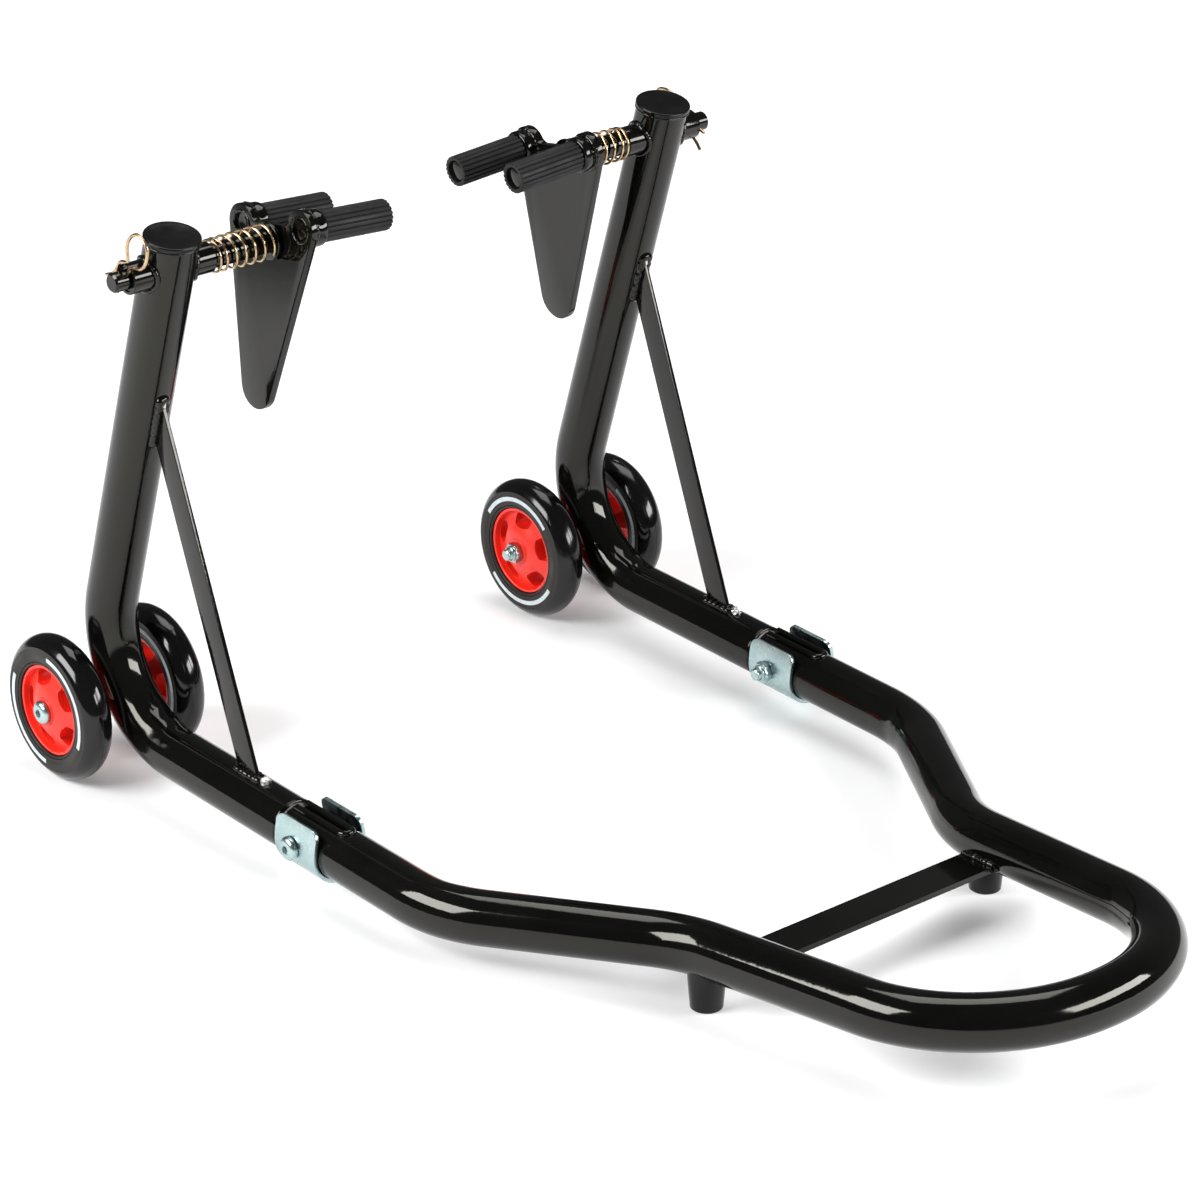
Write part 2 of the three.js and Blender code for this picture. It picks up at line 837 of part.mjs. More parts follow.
// A tube of flat rings round a line of points, each ring square to the line there
function wireTube(points, radius, sides) {
  const positions = [];
  const triangles = [];
  const ringNormal = new THREE.Vector3();
  points.forEach((point, i) => {
    const before = points[Math.max(i - 1, 0)];
    const after = points[Math.min(i + 1, points.length - 1)];
    const along = after.clone().sub(before).normalize();
    if (i === 0 || i === points.length - 1) {
      along.set(Math.sign(along.x), 0, 0);
    }
    const outward = new THREE.Vector3(0, point.y, point.z);
    ringNormal.copy(outward).addScaledVector(along, -outward.dot(along)).normalize();
    const sideways = along.clone().cross(ringNormal);
    for (let k = 0; k < sides; k += 1) {
      const angle = (2 * Math.PI * k) / sides;
      const corner = point
        .clone()
        .addScaledVector(ringNormal, radius * Math.cos(angle))
        .addScaledVector(sideways, radius * Math.sin(angle));
      positions.push(...corner.toArray());
    }
  });
  const corner = (ring, k) => ring * sides + (k % sides);
  for (let ring = 0; ring < points.length - 1; ring += 1) {
    for (let k = 0; k < sides; k += 1) {
      triangles.push(corner(ring, k), corner(ring, k + 1), corner(ring + 1, k + 1));
      triangles.push(corner(ring, k), corner(ring + 1, k + 1), corner(ring + 1, k));
    }
  }
  const lastRing = points.length - 1;
  for (let k = 1; k < sides - 1; k += 1) {
    triangles.push(corner(0, 0), corner(0, k + 1), corner(0, k));
    triangles.push(corner(lastRing, 0), corner(lastRing, k), corner(lastRing, k + 1));
  }
  const geometry = new THREE.BufferGeometry();
  geometry.setAttribute("position", new THREE.Float32BufferAttribute(positions, 3));
  geometry.setIndex(triangles);
  return geometry;
}

// The least gap of the spring's wire to itself, between points over half a curl apart
function leastGap(points) {
  let least = Infinity;
  points.forEach((a, i) => {
    points.slice(i + curlSteps / 2).forEach((b) => {
      least = Math.min(least, a.distanceTo(b) - 2 * wireRadius);
    });
  });
  return least;
}

function spring() {
  const line = springLine();
  console.log(`least gap of the spring's wire to itself: ${leastGap(line).toFixed(2)} mm`);
  return solidOf(wireTube(line, wireRadius, wireSides))
    .translate([0, liftAxis.y, liftAxis.z]);
}

// Hairpin clip: a straight leg through the pin, a loop above it and a leg that passes round the pin.
// Its corners are pairs of a place across and a place along the straight leg, from the pin's centre.
function clip(turn) {
  const tips = -2 * liftPinTipRadius;
  const besidePin = liftPinTipRadius + 3 * clipWireRadius;
  const neck = liftPinTipRadius + 4 * clipWireRadius + clipNeckRadius;
  const loopStart = neck + clipNeckLength;
  const loopTop = neck + clipLoopLength;
  const loopLeft = clipNeckGap / 2 - clipLoopHalfWidth;
  const loopRight = clipNeckGap / 2 + clipLoopHalfWidth;
  const corners = [
    { at: [0, tips] },
    { at: [0, neck], radius: clipNeckRadius },
    { at: [loopLeft, loopStart], radius: clipLoopRadius },
    { at: [loopLeft + clipLoopTaper, loopTop], radius: clipLoopRadius },
    { at: [loopRight - clipLoopTaper, loopTop], radius: clipLoopRadius },
    { at: [loopRight, loopStart], radius: clipLoopRadius },
    { at: [clipNeckGap, neck], radius: clipNeckRadius },
    { at: [besidePin, liftPinTipRadius], radius: clipNeckRadius },
    { at: [besidePin, -liftPinTipRadius], radius: clipNeckRadius },
    { at: [besidePin + clipFootFlare, tips] },
  ];
  const turnedCorners = corners.map(({ at, radius }) => ({
    at: inPlane(...at).applyAxisAngle(acrossStand, turn).add(liftAxis).setX(clipAt),
    radius,
  }));
  return sweep(new Route(turnedCorners, clipBendStep), clipWireRadius, clipSides);
}

// Handle: one tube from leg to leg, narrowed to a neck and bent round at the far end
const legHalf = legSpacing / 2;
const taper = onBase(taperReach).setX(legHalf);
const neckCorner = new THREE.Vector3(neckHalfWidth, -neckReach, taper.z + neckRise);
const loopCorner = new THREE.Vector3(handleHalfWidth, -handleReach, taper.z + handleRise);

function mirrored(v) {
  return new THREE.Vector3(-v.x, v.y, v.z);
}

function handleRoute(start) {
  const half = [
    { at: start.clone().setX(legHalf) },
    { at: taper, radius: taperBendRadius },
    { at: neckCorner, radius: neckBendRadius },
    { at: loopCorner, radius: loopRadius },
  ];
  return new Route([
    ...half,
    ...half.map(({ at, radius }) => ({ at: mirrored(at), radius })).reverse(),
  ]);
}

const handleSkin = sweep(handleRoute(handleStart), tubeRadius + weldGap, tubeSides);

function handleTube() {
  const mouth = handleStart.clone().addScaledVector(forward, -tubeWall);
  const pastSpigot = spigotEnd.clone().addScaledVector(forward, 2 * tubeWall);
  const socket = bar(
    mouth, pastSpigot, outsideRadius(tubeRadius - tubeWall, tubeSides), tubeSides
  );
  let tube = sweep(handleRoute(handleStart), tubeRadius, tubeSides)
    .subtract(sweep(handleRoute(mouth), tubeRadius - tubeWall, boreSides));
  const slotEnd = handleStart.clone().addScaledVector(forward, slotLength - slotWidth / 2);
  const high = 2 * tubeRadius;
  for (const side of [-1, 1]) {
    const shape = new THREE.Shape();
    shape.moveTo(slotWidth / 2, mouth.y);
    shape.lineTo(-slotWidth / 2, mouth.y);
    shape.lineTo(-slotWidth / 2, slotEnd.y);
    shape.absarc(0, slotEnd.y, slotWidth / 2, Math.PI, 2 * Math.PI, false);
    const slot = new THREE.ExtrudeGeometry(shape, {
      depth: high,
      bevelEnabled: false,
      curveSegments: slotEndSteps,
    });
    slot.translate(side * legHalf, 0, slotEnd.z);
    tube = tube
      .subtract(socket.translate([side * legHalf, 0, 0]))
      .subtract(solidOf(slot))
      .subtract(clampHole.translate([side * legHalf, 0, 0]));
  }
  return tube;
}

function sideTubeAt(reach) {
  const share = (reach - neckReach) / (handleReach - neckReach);
  return neckCorner.clone().lerp(loopCorner, share);
}

function crossbar() {
  const centre = sideTubeAt(crossbarReach);
  const slope = Math.atan2(handleRise - neckRise, neckReach - handleReach);
  const box = new THREE.BoxGeometry(2 * centre.x, crossbarWidth, crossbarThickness);
  box.rotateX(slope);
  box.translate(0, centre.y, centre.z - crossbarBelow);
  return solidOf(box).subtract(handleSkin);
}

function foot() {
  const top = sideTubeAt(footReach);
  const points = [
    [0, 0],
    [footBottomRadius, 0],
    [footTopRadius, top.z],
    [0, top.z],
  ].map(([r, h]) => new THREE.Vector2(r, h));
  const geometry = new THREE.LatheGeometry(points, pinSides);
  geometry.rotateX(Math.PI / 2);
  geometry.translate(top.x + footOffset, top.y, 0);
  return solidOf(geometry).subtract(handleSkin);
}

// Materials, by what each piece is made of
function finish(color, roughness, metalness) {
  return () => new THREE.MeshStandardMaterial({ color, roughness, metalness });
}

const paint = finish(0x15150f, 0.25, 0.1);
const satin = finish(0x1b1b1a, 0.55, 0.1);
const rubber = finish(0x202020, 0.8, 0);
const urethane = finish(0x101010, 0.35, 0);
const redPlastic = finish(0xd01510, 0.4, 0);
const zinc = finish(0xb9c6c9, 0.3, 1);
const yellowZinc = finish(0xcaa15a, 0.3, 1);

const stand = new THREE.Group();
const centreShift = (handleReach + tubeRadius - wheelRadius) / 2;

function place(name, geometry, material) {
  geometry.translate(0, centreShift, 0);
  const mesh = new THREE.Mesh(geometry, material);
  mesh.name = name;
  stand.add(mesh);
}

function mirrorAcross(geometry) {
  geometry.scale(-1, 1, 1);
  geometry.index.array.reverse();
  geometry.computeVertexNormals();
  return geometry;
}

// Puts a piece of a leg on one side: x outward from the leg's middle plane
function placeOnSide(side, name, solid, material) {
  const geometry = geometryOf(solid);
  geometry.translate(legHalf, 0, 0);
  if (side === "left") {
    mirrorAcross(geometry);
  }
  place(`${side}_${name}`, geometry, material);
}

for (const side of ["left", "right"]) {
  placeOnSide(side, "leg_tube", legTube(), paint());
  placeOnSide(side, "top_cap", topCap(), satin());
  placeOnSide(side, "gusset", gusset(), paint());
  placeOnSide(side, "lift_tube", liftTube(), paint());
  placeOnSide(side, "axle_tube", axleTube(), paint());
  placeOnSide(side, "outer_tyre", tyre(wheelOffset), urethane());
  placeOnSide(side, "outer_hub", hub(wheelOffset), redPlastic());
  placeOnSide(side, "inner_tyre", tyre(-wheelOffset), urethane());
  placeOnSide(side, "inner_hub", hub(-wheelOffset), redPlastic());
  placeOnSide(side, "axle_bolt", axleBolt(), zinc());
  placeOnSide(side, "axle_nut", axleNut(), zinc());
  placeOnSide(side, "clamp_saddle", saddle(), zinc());
  placeOnSide(side, "clamp_bolt", clampBolt(), zinc());
  placeOnSide(side, "clamp_nut", clampNut(), zinc());
  placeOnSide(side, "lift_pin", liftPin().subtract(clipHole(clipTurns[side])), paint());
  placeOnSide(side, "lift_plate", liftPlate(), paint());
  placeOnSide(side, "wheel_side_peg", peg(1), paint());
  placeOnSide(side, "handle_side_peg", peg(-1), paint());
  placeOnSide(side, "wheel_side_rubber", pegRubber(1), rubber());
  placeOnSide(side, "handle_side_rubber", pegRubber(-1), rubber());
  placeOnSide(side, "spring_seat", springSeat(), paint());
  placeOnSide(side, "spring", spring(), yellowZinc());
  placeOnSide(side, "clip", clip(clipTurns[side]), yellowZinc());
}

place("handle_tube", geometryOf(handleTube()), paint());
place("crossbar", geometryOf(crossbar()), paint());
place("right_foot", geometryOf(foot()), satin());
place("left_foot", mirrorAcross(geometryOf(foot())), satin());

export default stand;
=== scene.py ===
"""A paddock stand in a photographer's studio: smooth painted tubes, welds, wheels, heads and clamps."""

import math

import bmesh
import bpy
from mathutils import Matrix, Vector, noise


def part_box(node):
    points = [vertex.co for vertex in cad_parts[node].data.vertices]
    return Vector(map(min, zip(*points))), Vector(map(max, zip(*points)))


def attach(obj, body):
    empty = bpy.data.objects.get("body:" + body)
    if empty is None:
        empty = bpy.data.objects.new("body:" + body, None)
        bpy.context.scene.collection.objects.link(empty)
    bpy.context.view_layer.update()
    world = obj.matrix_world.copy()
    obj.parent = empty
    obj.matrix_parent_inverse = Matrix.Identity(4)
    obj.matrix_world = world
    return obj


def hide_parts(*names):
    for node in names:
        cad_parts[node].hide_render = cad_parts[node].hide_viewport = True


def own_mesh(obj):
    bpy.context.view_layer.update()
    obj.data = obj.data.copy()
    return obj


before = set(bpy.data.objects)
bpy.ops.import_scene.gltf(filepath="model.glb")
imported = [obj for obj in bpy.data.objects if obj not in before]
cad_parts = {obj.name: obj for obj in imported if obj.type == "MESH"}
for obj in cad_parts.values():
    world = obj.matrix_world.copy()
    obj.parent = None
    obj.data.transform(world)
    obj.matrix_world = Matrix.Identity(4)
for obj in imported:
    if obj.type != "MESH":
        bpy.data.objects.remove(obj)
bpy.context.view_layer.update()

# All sizes are in metres. X runs across the stand, +Y from the handle to the wheels, Z up.
# A leg is made about its own middle plane, with x counted outward, then placed and mirrored.
SIDES = {"left": -1, "right": 1}

# The gap between touching pieces, the rounding of sheet edges, and what counts as a sharp edge
GAP = 0.0003
SHEET_EDGE = 0.0005
SHARP_ANGLE = math.radians(38)
ACROSS = Vector((1, 0, 0))

# Frame tubes
TUBE_RADIUS = 0.0175
TUBE_SIDES = 72
BEND_STEP = math.radians(2)
LEG_HEIGHT = 0.396
UPRIGHT_LEAN = math.radians(17.24)
BASE_SLOPE = math.radians(0.93)
LEG_BEND_RADIUS = 0.072
AXLE_BEARING = math.radians(-34.3)
LEG_HALF = 0.2
CAP_OVERLAP = 0.0014
FOLD_HEIGHT = 0.0004
FOLD_FOCUS = 4
FOLD_SHARE = 0.86
FOLD_SPAN = 0.05
HOLLOW_DEPTH = 0.0003
HOLLOW_SHARE = 0.76
HOLLOW_SPAN = 0.06

# Weld beads, most with their radius and the length of a ripple
CAP_BEAD = (0.0009, 0.0035)
LIFT_TUBE_BEAD = (0.0017, 0.0026)
AXLE_BEAD = (0.0024, 0.0026)
AXLE_BEAD_REACH = 0.013
GUSSET_TOP_BEAD = (0.0034, 0.0046)
GUSSET_FOOT_BEAD = (0.0029, 0.0043)
EAR_BEAD = (0.001, 0.0032)
PEG_BEAD = (0.0018, 0.0032)
CROSSBAR_BEAD = (0.0027, 0.0034)
CROSSBAR_END_BEAD = (0.0019, 0.0026)
GUSSET_TOP_SINK = 0.0004
GUSSET_FOOT_SINK = 0.0003
BEAD_SIDES = 14
BEAD_SPACING = 0.0006
BEAD_GRAIN = 260
BEAD_TAPER = 0.35
LUMP_GRAIN = 1.6

# Wheels; a wall point is a share of the tyre's half width and a radius, and ring turns are in degrees
WHEEL_RADIUS = 0.05
WHEEL_OFFSET = 0.037
TYRE_HALF_WIDTH = 0.012
TREAD_RADIUS = 0.012
RIM_RADIUS = 0.031
RIM_HALF_WIDTH = 0.0093
TYRE_SIDES = 144
SEAM_HEIGHT = 0.00015
SEAM_HALF_WIDTH = 0.0003
SHOULDER_RADIUS = 0.0429
SHOULDER_STEP = 0.00025
WALL_TOP = 0.0427
RING_OUTER = 0.0396
RING_WIDTH = 0.003
RING_ARC = math.radians(108)
WALL = [(0.955, RING_OUTER), (0.955, RING_OUTER - RING_WIDTH), (0.95, 0.0365), (0.93, 0.0335)]
RING_TURNS = {"left_outer": 58, "left_inner": 58, "right_inner": -6.5, "right_outer": 85}
AXLE_TUBE_RADIUS = 0.009
AXLE_TUBE_HALF_LENGTH = 0.0237

# Hub, with the turn of each one in degrees and the slope of its face as x and radius
HUB_SIDES = 120
BOSS_HALF_WIDTH = 0.013
BOSS_RADIUS = 0.0095
HUB_BORE_RADIUS = 0.0043
HUB_LIP = 0.0022
SPOKE_COUNT = 5
WINDOW_INNER = 0.0162
WINDOW_OUTER = 0.0279
WINDOW_ANGLE = math.radians(42)
WINDOW_CORNER = 0.006
HUB_FACE = [(0.0062, 0.0284), (0.0054, 0.0282), (0.0056, 0.0265), (0.0072, 0.0222)]
HUB_FACE += [(0.0092, 0.0184), (0.0108, 0.015), (0.0117, 0.0124), (0.012, 0.0105)]
HUB_TURNS = {"left_outer": -18, "left_inner": 11, "right_inner": 0, "right_outer": 31}

# Bolts and nuts
BOLT_RADIUS = 0.004
BOLT_SEAT = 0.0503
BUTTON_RADIUS = 0.008
BUTTON_HEIGHT = 0.0046
BUTTON_RIM = 0.0012
CROWN_RADIUS = 0.0035
SOCKET_FLAT = 0.0025
SOCKET_DEPTH = 0.0026
NUT_FLAT = 0.0065
NUT_HEIGHT = 0.0068
HEXAGON_SHARE = 0.72
THREAD_PITCH = 0.00125
THREAD_DEPTH = 0.0005
THREAD_FROM = 0.6
BOLT_TAIL = 0.0035

# Lift pin, its tube and its cap
CAP_THICKNESS = 0.0035
CAP_RADIUS = 0.0184
CAP_RIM_INSIDE = 0.86
CAP_DISH_FROM = 0.83
CAP_DISH_DEPTH = 0.00012
CAP_LEAN = math.radians(11.2)
LIFT_TUBE_RADIUS = 0.01
LIFT_TUBE_HALF_LENGTH = 0.031
PIN_RADIUS = 0.008
PIN_TIP_RADIUS = 0.0064
PIN_TIP_LENGTH = 0.011
PIN_CHAMFER = 0.0012

# Lift plate, in its own frame: u to the wheel side, v up, the pin at 0, 0
PLATE_TO_LEG = 0.08
PLATE_THICKNESS = 0.005
PLATE_EDGE = 0.0004
PLATE_HANG = math.radians(-11)
HEAD_TILT = math.radians(4)
EAR_SPREAD = 0.031
EAR_RISE = 0.008
EAR_RADIUS = 0.013
NOTCH_RISE = 0.010
NOTCH_FILLET = 0.006
PLATE_DROP = 0.097
PLATE_FOOT_RADIUS = 0.0155
EAR_HOLE_RADIUS = 0.0072
EAR_RECESS = 0.0022

# Pegs; points on the tip and the groove are a length back and what the radius is less there
PEG_CORE_RADIUS = 0.00725
PEG_LENGTH = 0.0615
COLLAR_RADIUS = 0.012
COLLAR_LENGTH = 0.009
RUBBER_RADIUS = 0.01025
RUBBER_GROOVE = 0.001
RUBBER_GROOVES = 20
GROOVE_SHARE = 0.42
CORE_RECESS = 0.0015
PEG_TIP = [(0, 0.0012), (0.0005, 0.0004), (0.001, 0)]
COLLAR_GROOVE = [(0.0045, 0), (0.003, 0.0007), (0.0015, 0.0007), (0, 0)]
DIMPLE_RADIUS = 0.0042
DIMPLE_FLOOR_RADIUS = 0.0034

# Spring and clip
SEAT_RADIUS = 0.0128
SEAT_THICKNESS = 0.0025
SEAT_FROM = 0.0787
WIRE_RADIUS = 0.0009
SPRING_RADIUS_AT_TUBE = 0.0104
SPRING_RADIUS_AT_SEAT = 0.0114
CLOSED_CURLS = 1
CLOSED_PITCH = 0.0026
OPEN_CURLS = 5.6
CURL_STEPS = 40
CLIP_WIRE_RADIUS = 0.0011
CLIP_LOOP_HALF_WIDTH = 0.01
CLIP_LOOP_SHIFT = 0.0017
CLIP_LOOP_RISES = (0.0084, 0.0174, 0.0257)
CLIP_LOOP_CORNER = 0.0045
CLIP_NECK = 0.0026
CLIP_WAIST = 0.0044
CLIP_GRIP = 0.0006
CLIP_FLARE = 0.004
CLIP_TURNS = {"left": math.radians(38), "right": math.radians(-72)}

# Flat bar from the upright to the base
GUSSET_HEIGHT = 0.2654
GUSSET_REACH = 0.1588
GUSSET_WIDTH = 0.0185
GUSSET_THICKNESS = 0.003
GUSSET_IN_UPRIGHT = 0.012
GUSSET_IN_BASE = 0.008

# Handle, with reaches counted from the axle line toward the handle
LEG_END_REACH = 0.207
JOINT_GAP = 0.004
SPIGOT_LENGTH = 0.066
SPIGOT_RADIUS = 0.0152
SPIGOT_PROUD = 0.0001
SPIGOT_IN_HANDLE = 0.002
SHOULDER_ROUND = 0.0018
SHOULDER_STEPS = 8
TAPER_REACH = 0.352
TAPER_BEND_RADIUS = 0.1
NECK_REACH = 0.486
NECK_HALF_WIDTH = 0.116
NECK_RISE = 0.006
NECK_BEND_RADIUS = 0.095
HANDLE_SPACING = 0.005
TAPER_DENT = (0.0014, 0.010)
LOOP_DENT = (0.0008, 0.009)
LOOP_DENT_AFTER = 0.078
HANDLE_REACH = 0.721
HANDLE_HALF_WIDTH = 0.097
HANDLE_RISE = 0.028
LOOP_RADIUS = 0.103
SLOT_WIDTH = 0.0065
SLOT_LENGTH = 0.051
LIP_RADIUS = 0.0024

# Saddle clamp
SADDLE_START = 0.005
SADDLE_LENGTH = 0.041
SADDLE_SHEET = 0.0025
SADDLE_INSIDE = 0.018
SADDLE_RISE = 0.0185
SADDLE_PINCH = 0.003
SADDLE_CORNER = 0.006
CLAMP_BOLT_INSET = 0.018

# Crossbar and feet
CROSSBAR_REACH = 0.519
CROSSBAR_WIDTH = 0.03
CROSSBAR_THICKNESS = 0.0035
CROSSBAR_BELOW = 0.0078
FOOT_REACH = 0.505
FOOT_OFFSET = 0.0025
FOOT_TOP_RADIUS = 0.0128
FOOT_BOTTOM_RADIUS = 0.0103
FOOT_EDGE = 0.001
FOOT_IN_TUBE = 0.004
FOOT_NECK = [(0.012, 0.0006), (FOOT_IN_TUBE, 0.0003)]


# Geometry helpers
def in_plane(y, z):
    return Vector((0, y, z))


def middle(node):
    low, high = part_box(node)
    return (low + high) / 2


def quarter(direction):
    """The direction a quarter turn on in the leg's plane."""
    return in_plane(direction.z, -direction.y)


def turn_about_x(angle):
    return Matrix.Rotation(angle, 3, "X")


def in_scene(name, data):
    """A new object in the scene."""
    item = bpy.data.objects.new(name, data)
    bpy.context.scene.collection.objects.link(item)
    return item


def route(corners, step=BEND_STEP):
    """Points and directions along straight runs that are joined by round bends."""
    stations = []
    for i, (corner, radius) in enumerate(corners):
        if radius is None:
            start, end = (corner, corners[i + 1][0]) if i == 0 else (corners[i - 1][0], corner)
            stations.append((corner.copy(), (end - start).normalized()))
            continue
        incoming = (corner - corners[i - 1][0]).normalized()
        outgoing = (corners[i + 1][0] - corner).normalized()
        turn = incoming.angle(outgoing)
        axis = incoming.cross(outgoing).normalized()
        centre = corner + (outgoing - incoming).normalized() * radius / math.cos(turn / 2)
        spoke = corner - incoming * radius * math.tan(turn / 2) - centre
        count = math.ceil(turn / step)
        for k in range(count + 1):
            swing = Matrix.Rotation(turn * k / count, 3, axis)
            stations.append((centre + swing @ spoke, swing @ incoming))
    return stations


def ring_normals(stations):
    """Sideways directions that start across the stand and follow the line without twisting."""
    normals = []
    normal = ACROSS
    previous = stations[0][1]
    for _, direction in stations:
        normal = previous.rotation_difference(direction) @ normal
        normal = (normal - direction * normal.dot(direction)).normalized()
        normals.append(normal)
        previous = direction
    return normals


def skin_rings(rings, closed=False, capped=True):
    """A mesh over rings of points, each ring joined to the next."""
    count = len(rings[0])
    vertices = [point for ring in rings for point in ring]
    faces = []
    spans = len(rings) if closed else len(rings) - 1
    for i in range(spans):
        a = i * count
        b = (i + 1) % len(rings) * count
        for k in range(count):
            after = (k + 1) % count
            faces.append((a + k, a + after, b + after, b + k))
    if capped and not closed:
        faces.append(tuple(reversed(range(count))))
        faces.append(tuple(range(len(vertices) - count, len(vertices))))
    mesh = bpy.data.meshes.new("rings")
    mesh.from_pydata(vertices, [], faces)
    shade(mesh)
    return mesh


def shade(mesh):
    """Faces outward, smooth shading, and sharp edges where faces meet at a real corner."""
    work = bmesh.new()
    work.from_mesh(mesh)
    bmesh.ops.remove_doubles(work, verts=work.verts, dist=1e-7)
    bmesh.ops.dissolve_degenerate(work, edges=work.edges, dist=1e-7)
    bmesh.ops.recalc_face_normals(work, faces=work.faces)
    work.to_mesh(mesh)
    work.free()
    mesh.shade_smooth()
    mesh.set_sharp_from_angle(angle=SHARP_ANGLE)


def tube(stations, radius_at, sides=TUBE_SIDES, normals=None, closed=False):
    """A tube along stations; radius_at takes a station's number and a direction out from the line."""
    rings = []
    for i, ((point, direction), normal) in enumerate(zip(stations, normals or ring_normals(stations))):
        across = direction.cross(normal)
        ring = []
        for k in range(sides):
            angle = math.tau * k / sides
            spoke = normal * math.cos(angle) + across * math.sin(angle)
            ring.append(point + spoke * radius_at(i, spoke))
        rings.append(ring)
    return skin_rings(rings, closed)


def hexagon(flat, angle):
    """The distance to a hexagon's edge, whose flats lie at the given distance."""
    step = math.tau / 6
    return flat / math.cos((angle % step) - step / 2)


def turned(profile, sides=48, at=Vector()):
    """A solid turned about X from x and radius; a third value changes the radius with the angle."""
    rings = []
    for x, radius, *shape in profile:
        ring = []
        for k in range(sides):
            angle = math.tau * k / sides
            reach = shape[0](radius, angle) if shape else radius
            ring.append((x, reach * math.cos(angle), reach * math.sin(angle)))
        rings.append(ring)
    return moved(skin_rings(rings, closed=profile[0][1] > 0 and profile[-1][1] > 0, capped=False), at)


def arc(centre_x, centre_y, radius, start, end, steps=6):
    """Points on an arc as number pairs, with angles in degrees from the first axis toward the second."""
    points = []
    for k in range(steps + 1):
        angle = math.radians(start + (end - start) * k / steps)
        points.append((centre_x + radius * math.cos(angle), centre_y + radius * math.sin(angle)))
    return points


def rounded_rims(start, end, radius, edge, steps=6):
    """Profile points along a cylinder whose two rims are rounded."""
    rim = radius - edge
    return arc(start + edge, rim, edge, 180, 90, steps) + arc(end - edge, rim, edge, 90, 0, steps)


def moved(mesh, shift):
    mesh.transform(Matrix.Translation(shift))
    return mesh


def spun(mesh, angle, axis="X"):
    mesh.transform(Matrix.Rotation(angle, 4, axis))
    return mesh


def upright(mesh):
    """The mesh with what pointed along X now pointing up."""
    return spun(mesh, -math.pi / 2, "Y")


def flat_piece(outlines, thickness, edge):
    """A flat piece in Y and Z with rounded edges; the first outline is its rim and the rest are holes."""
    curve = bpy.data.curves.new("outline", "CURVE")
    curve.dimensions = "2D"
    curve.fill_mode = "BOTH"
    curve.extrude = thickness / 2 - edge
    curve.bevel_depth = edge
    curve.bevel_resolution = 2
    curve.offset = -edge
    for outline in outlines:
        spline = curve.splines.new("POLY")
        spline.points.add(len(outline) - 1)
        spline.use_cyclic_u = True
        for point, (u, v) in zip(spline.points, outline):
            point.co = (u, v, 0, 1)
    helper = in_scene("helper", curve)
    mesh = bpy.data.meshes.new_from_object(helper)
    bpy.data.objects.remove(helper)
    mesh.transform(Matrix(((0, 0, 1, 0), (1, 0, 0, 0), (0, 1, 0, 0), (0, 0, 0, 1))))
    shade(mesh)
    return mesh


def modified(mesh, build):
    """The mesh after the modifiers that build puts on it."""
    helper = in_scene("helper", mesh)
    build(helper)
    evaluated = helper.evaluated_get(bpy.context.evaluated_depsgraph_get())
    result = bpy.data.meshes.new_from_object(evaluated)
    bpy.data.objects.remove(helper)
    return result


def carved(mesh, cutters):
    """The mesh with each cutter's solid taken out of it."""
    helpers = [in_scene("cutter", cutter) for cutter in cutters]

    def build(target):
        for helper in helpers:
            modifier = target.modifiers.new("cut", "BOOLEAN")
            modifier.operation = "DIFFERENCE"
            modifier.solver = "EXACT"
            modifier.object = helper

    result = modified(mesh, build)
    for helper in helpers:
        bpy.data.objects.remove(helper)
    shade(result)
    return result


def with_directions(points, closed=False):
    """Each point of a line together with the line's direction there."""
    last = len(points) - 1
    stations = []
    for i, point in enumerate(points):
        after = points[(i + 1) % len(points)] if closed else points[min(i + 1, last)]
        before = points[i - 1] if closed else points[max(i - 1, 0)]
        stations.append((point, (after - before).normalized()))
    return stations


def squared(stations, outward):
    """The outward directions, each turned at right angles to the line."""
    normals = []
    for (_, direction), normal in zip(stations, outward):
        normals.append((normal - direction * normal.dot(direction)).normalized())
    return normals


def softened(points, rounds=4):
    """The line with its corners cut again and again, so that it bends smoothly."""
    for _ in range(rounds):
        cut = [points[0]]
        for a, b in zip(points, points[1:]):
            cut += [a.lerp(b, 0.25), a.lerp(b, 0.75)]
        points = cut + [points[-1]]
    return points


def lump(at, radius, stretch):
    """A small uneven blob of weld metal."""
    work = bmesh.new()
    bmesh.ops.create_icosphere(work, subdivisions=4, radius=1)
    least, uneven_share, apart = 0.85, 0.5, 90
    for vertex in work.verts:
        swell = least + uneven_share * noise.noise(vertex.co * LUMP_GRAIN + at * apart)
        vertex.co = at + Vector([radius * swell * a * b for a, b in zip(vertex.co, stretch)])
    mesh = bpy.data.meshes.new("lump")
    work.to_mesh(mesh)
    work.free()
    shade(mesh)
    return mesh


def bead(points, outward, size, closed=True):
    """A weld bead along points: a thin tube whose thickness ripples; outward gives each ring's normal."""
    radius, pitch = size
    count = len(points)
    least, ripple_share, uneven_share = 0.88, 0.14, 0.22
    stations = with_directions(points, closed)
    travelled = [0.0]
    for a, b in zip(points, points[1:]):
        travelled.append(travelled[-1] + (b - a).length)

    def radius_at(i, spoke):
        ripple = abs(math.sin(math.pi * travelled[i] / pitch))
        unevenness = noise.noise(points[i] * BEAD_GRAIN)
        taper = 1.0 if closed else math.sin(math.pi * (i + 0.6) / (count + 0.2)) ** BEAD_TAPER
        return radius * taper * (least + ripple_share * ripple + uneven_share * unevenness)

    return tube(stations, radius_at, BEAD_SIDES, squared(stations, outward), closed)


def open_bead(point_at, steps, outward, size):
    """A weld bead with two ends, whose points are given for shares from -1 to 1."""
    points = [point_at(2 * k / steps - 1) for k in range(steps + 1)]
    return bead(points, [outward] * len(points), size, closed=False)


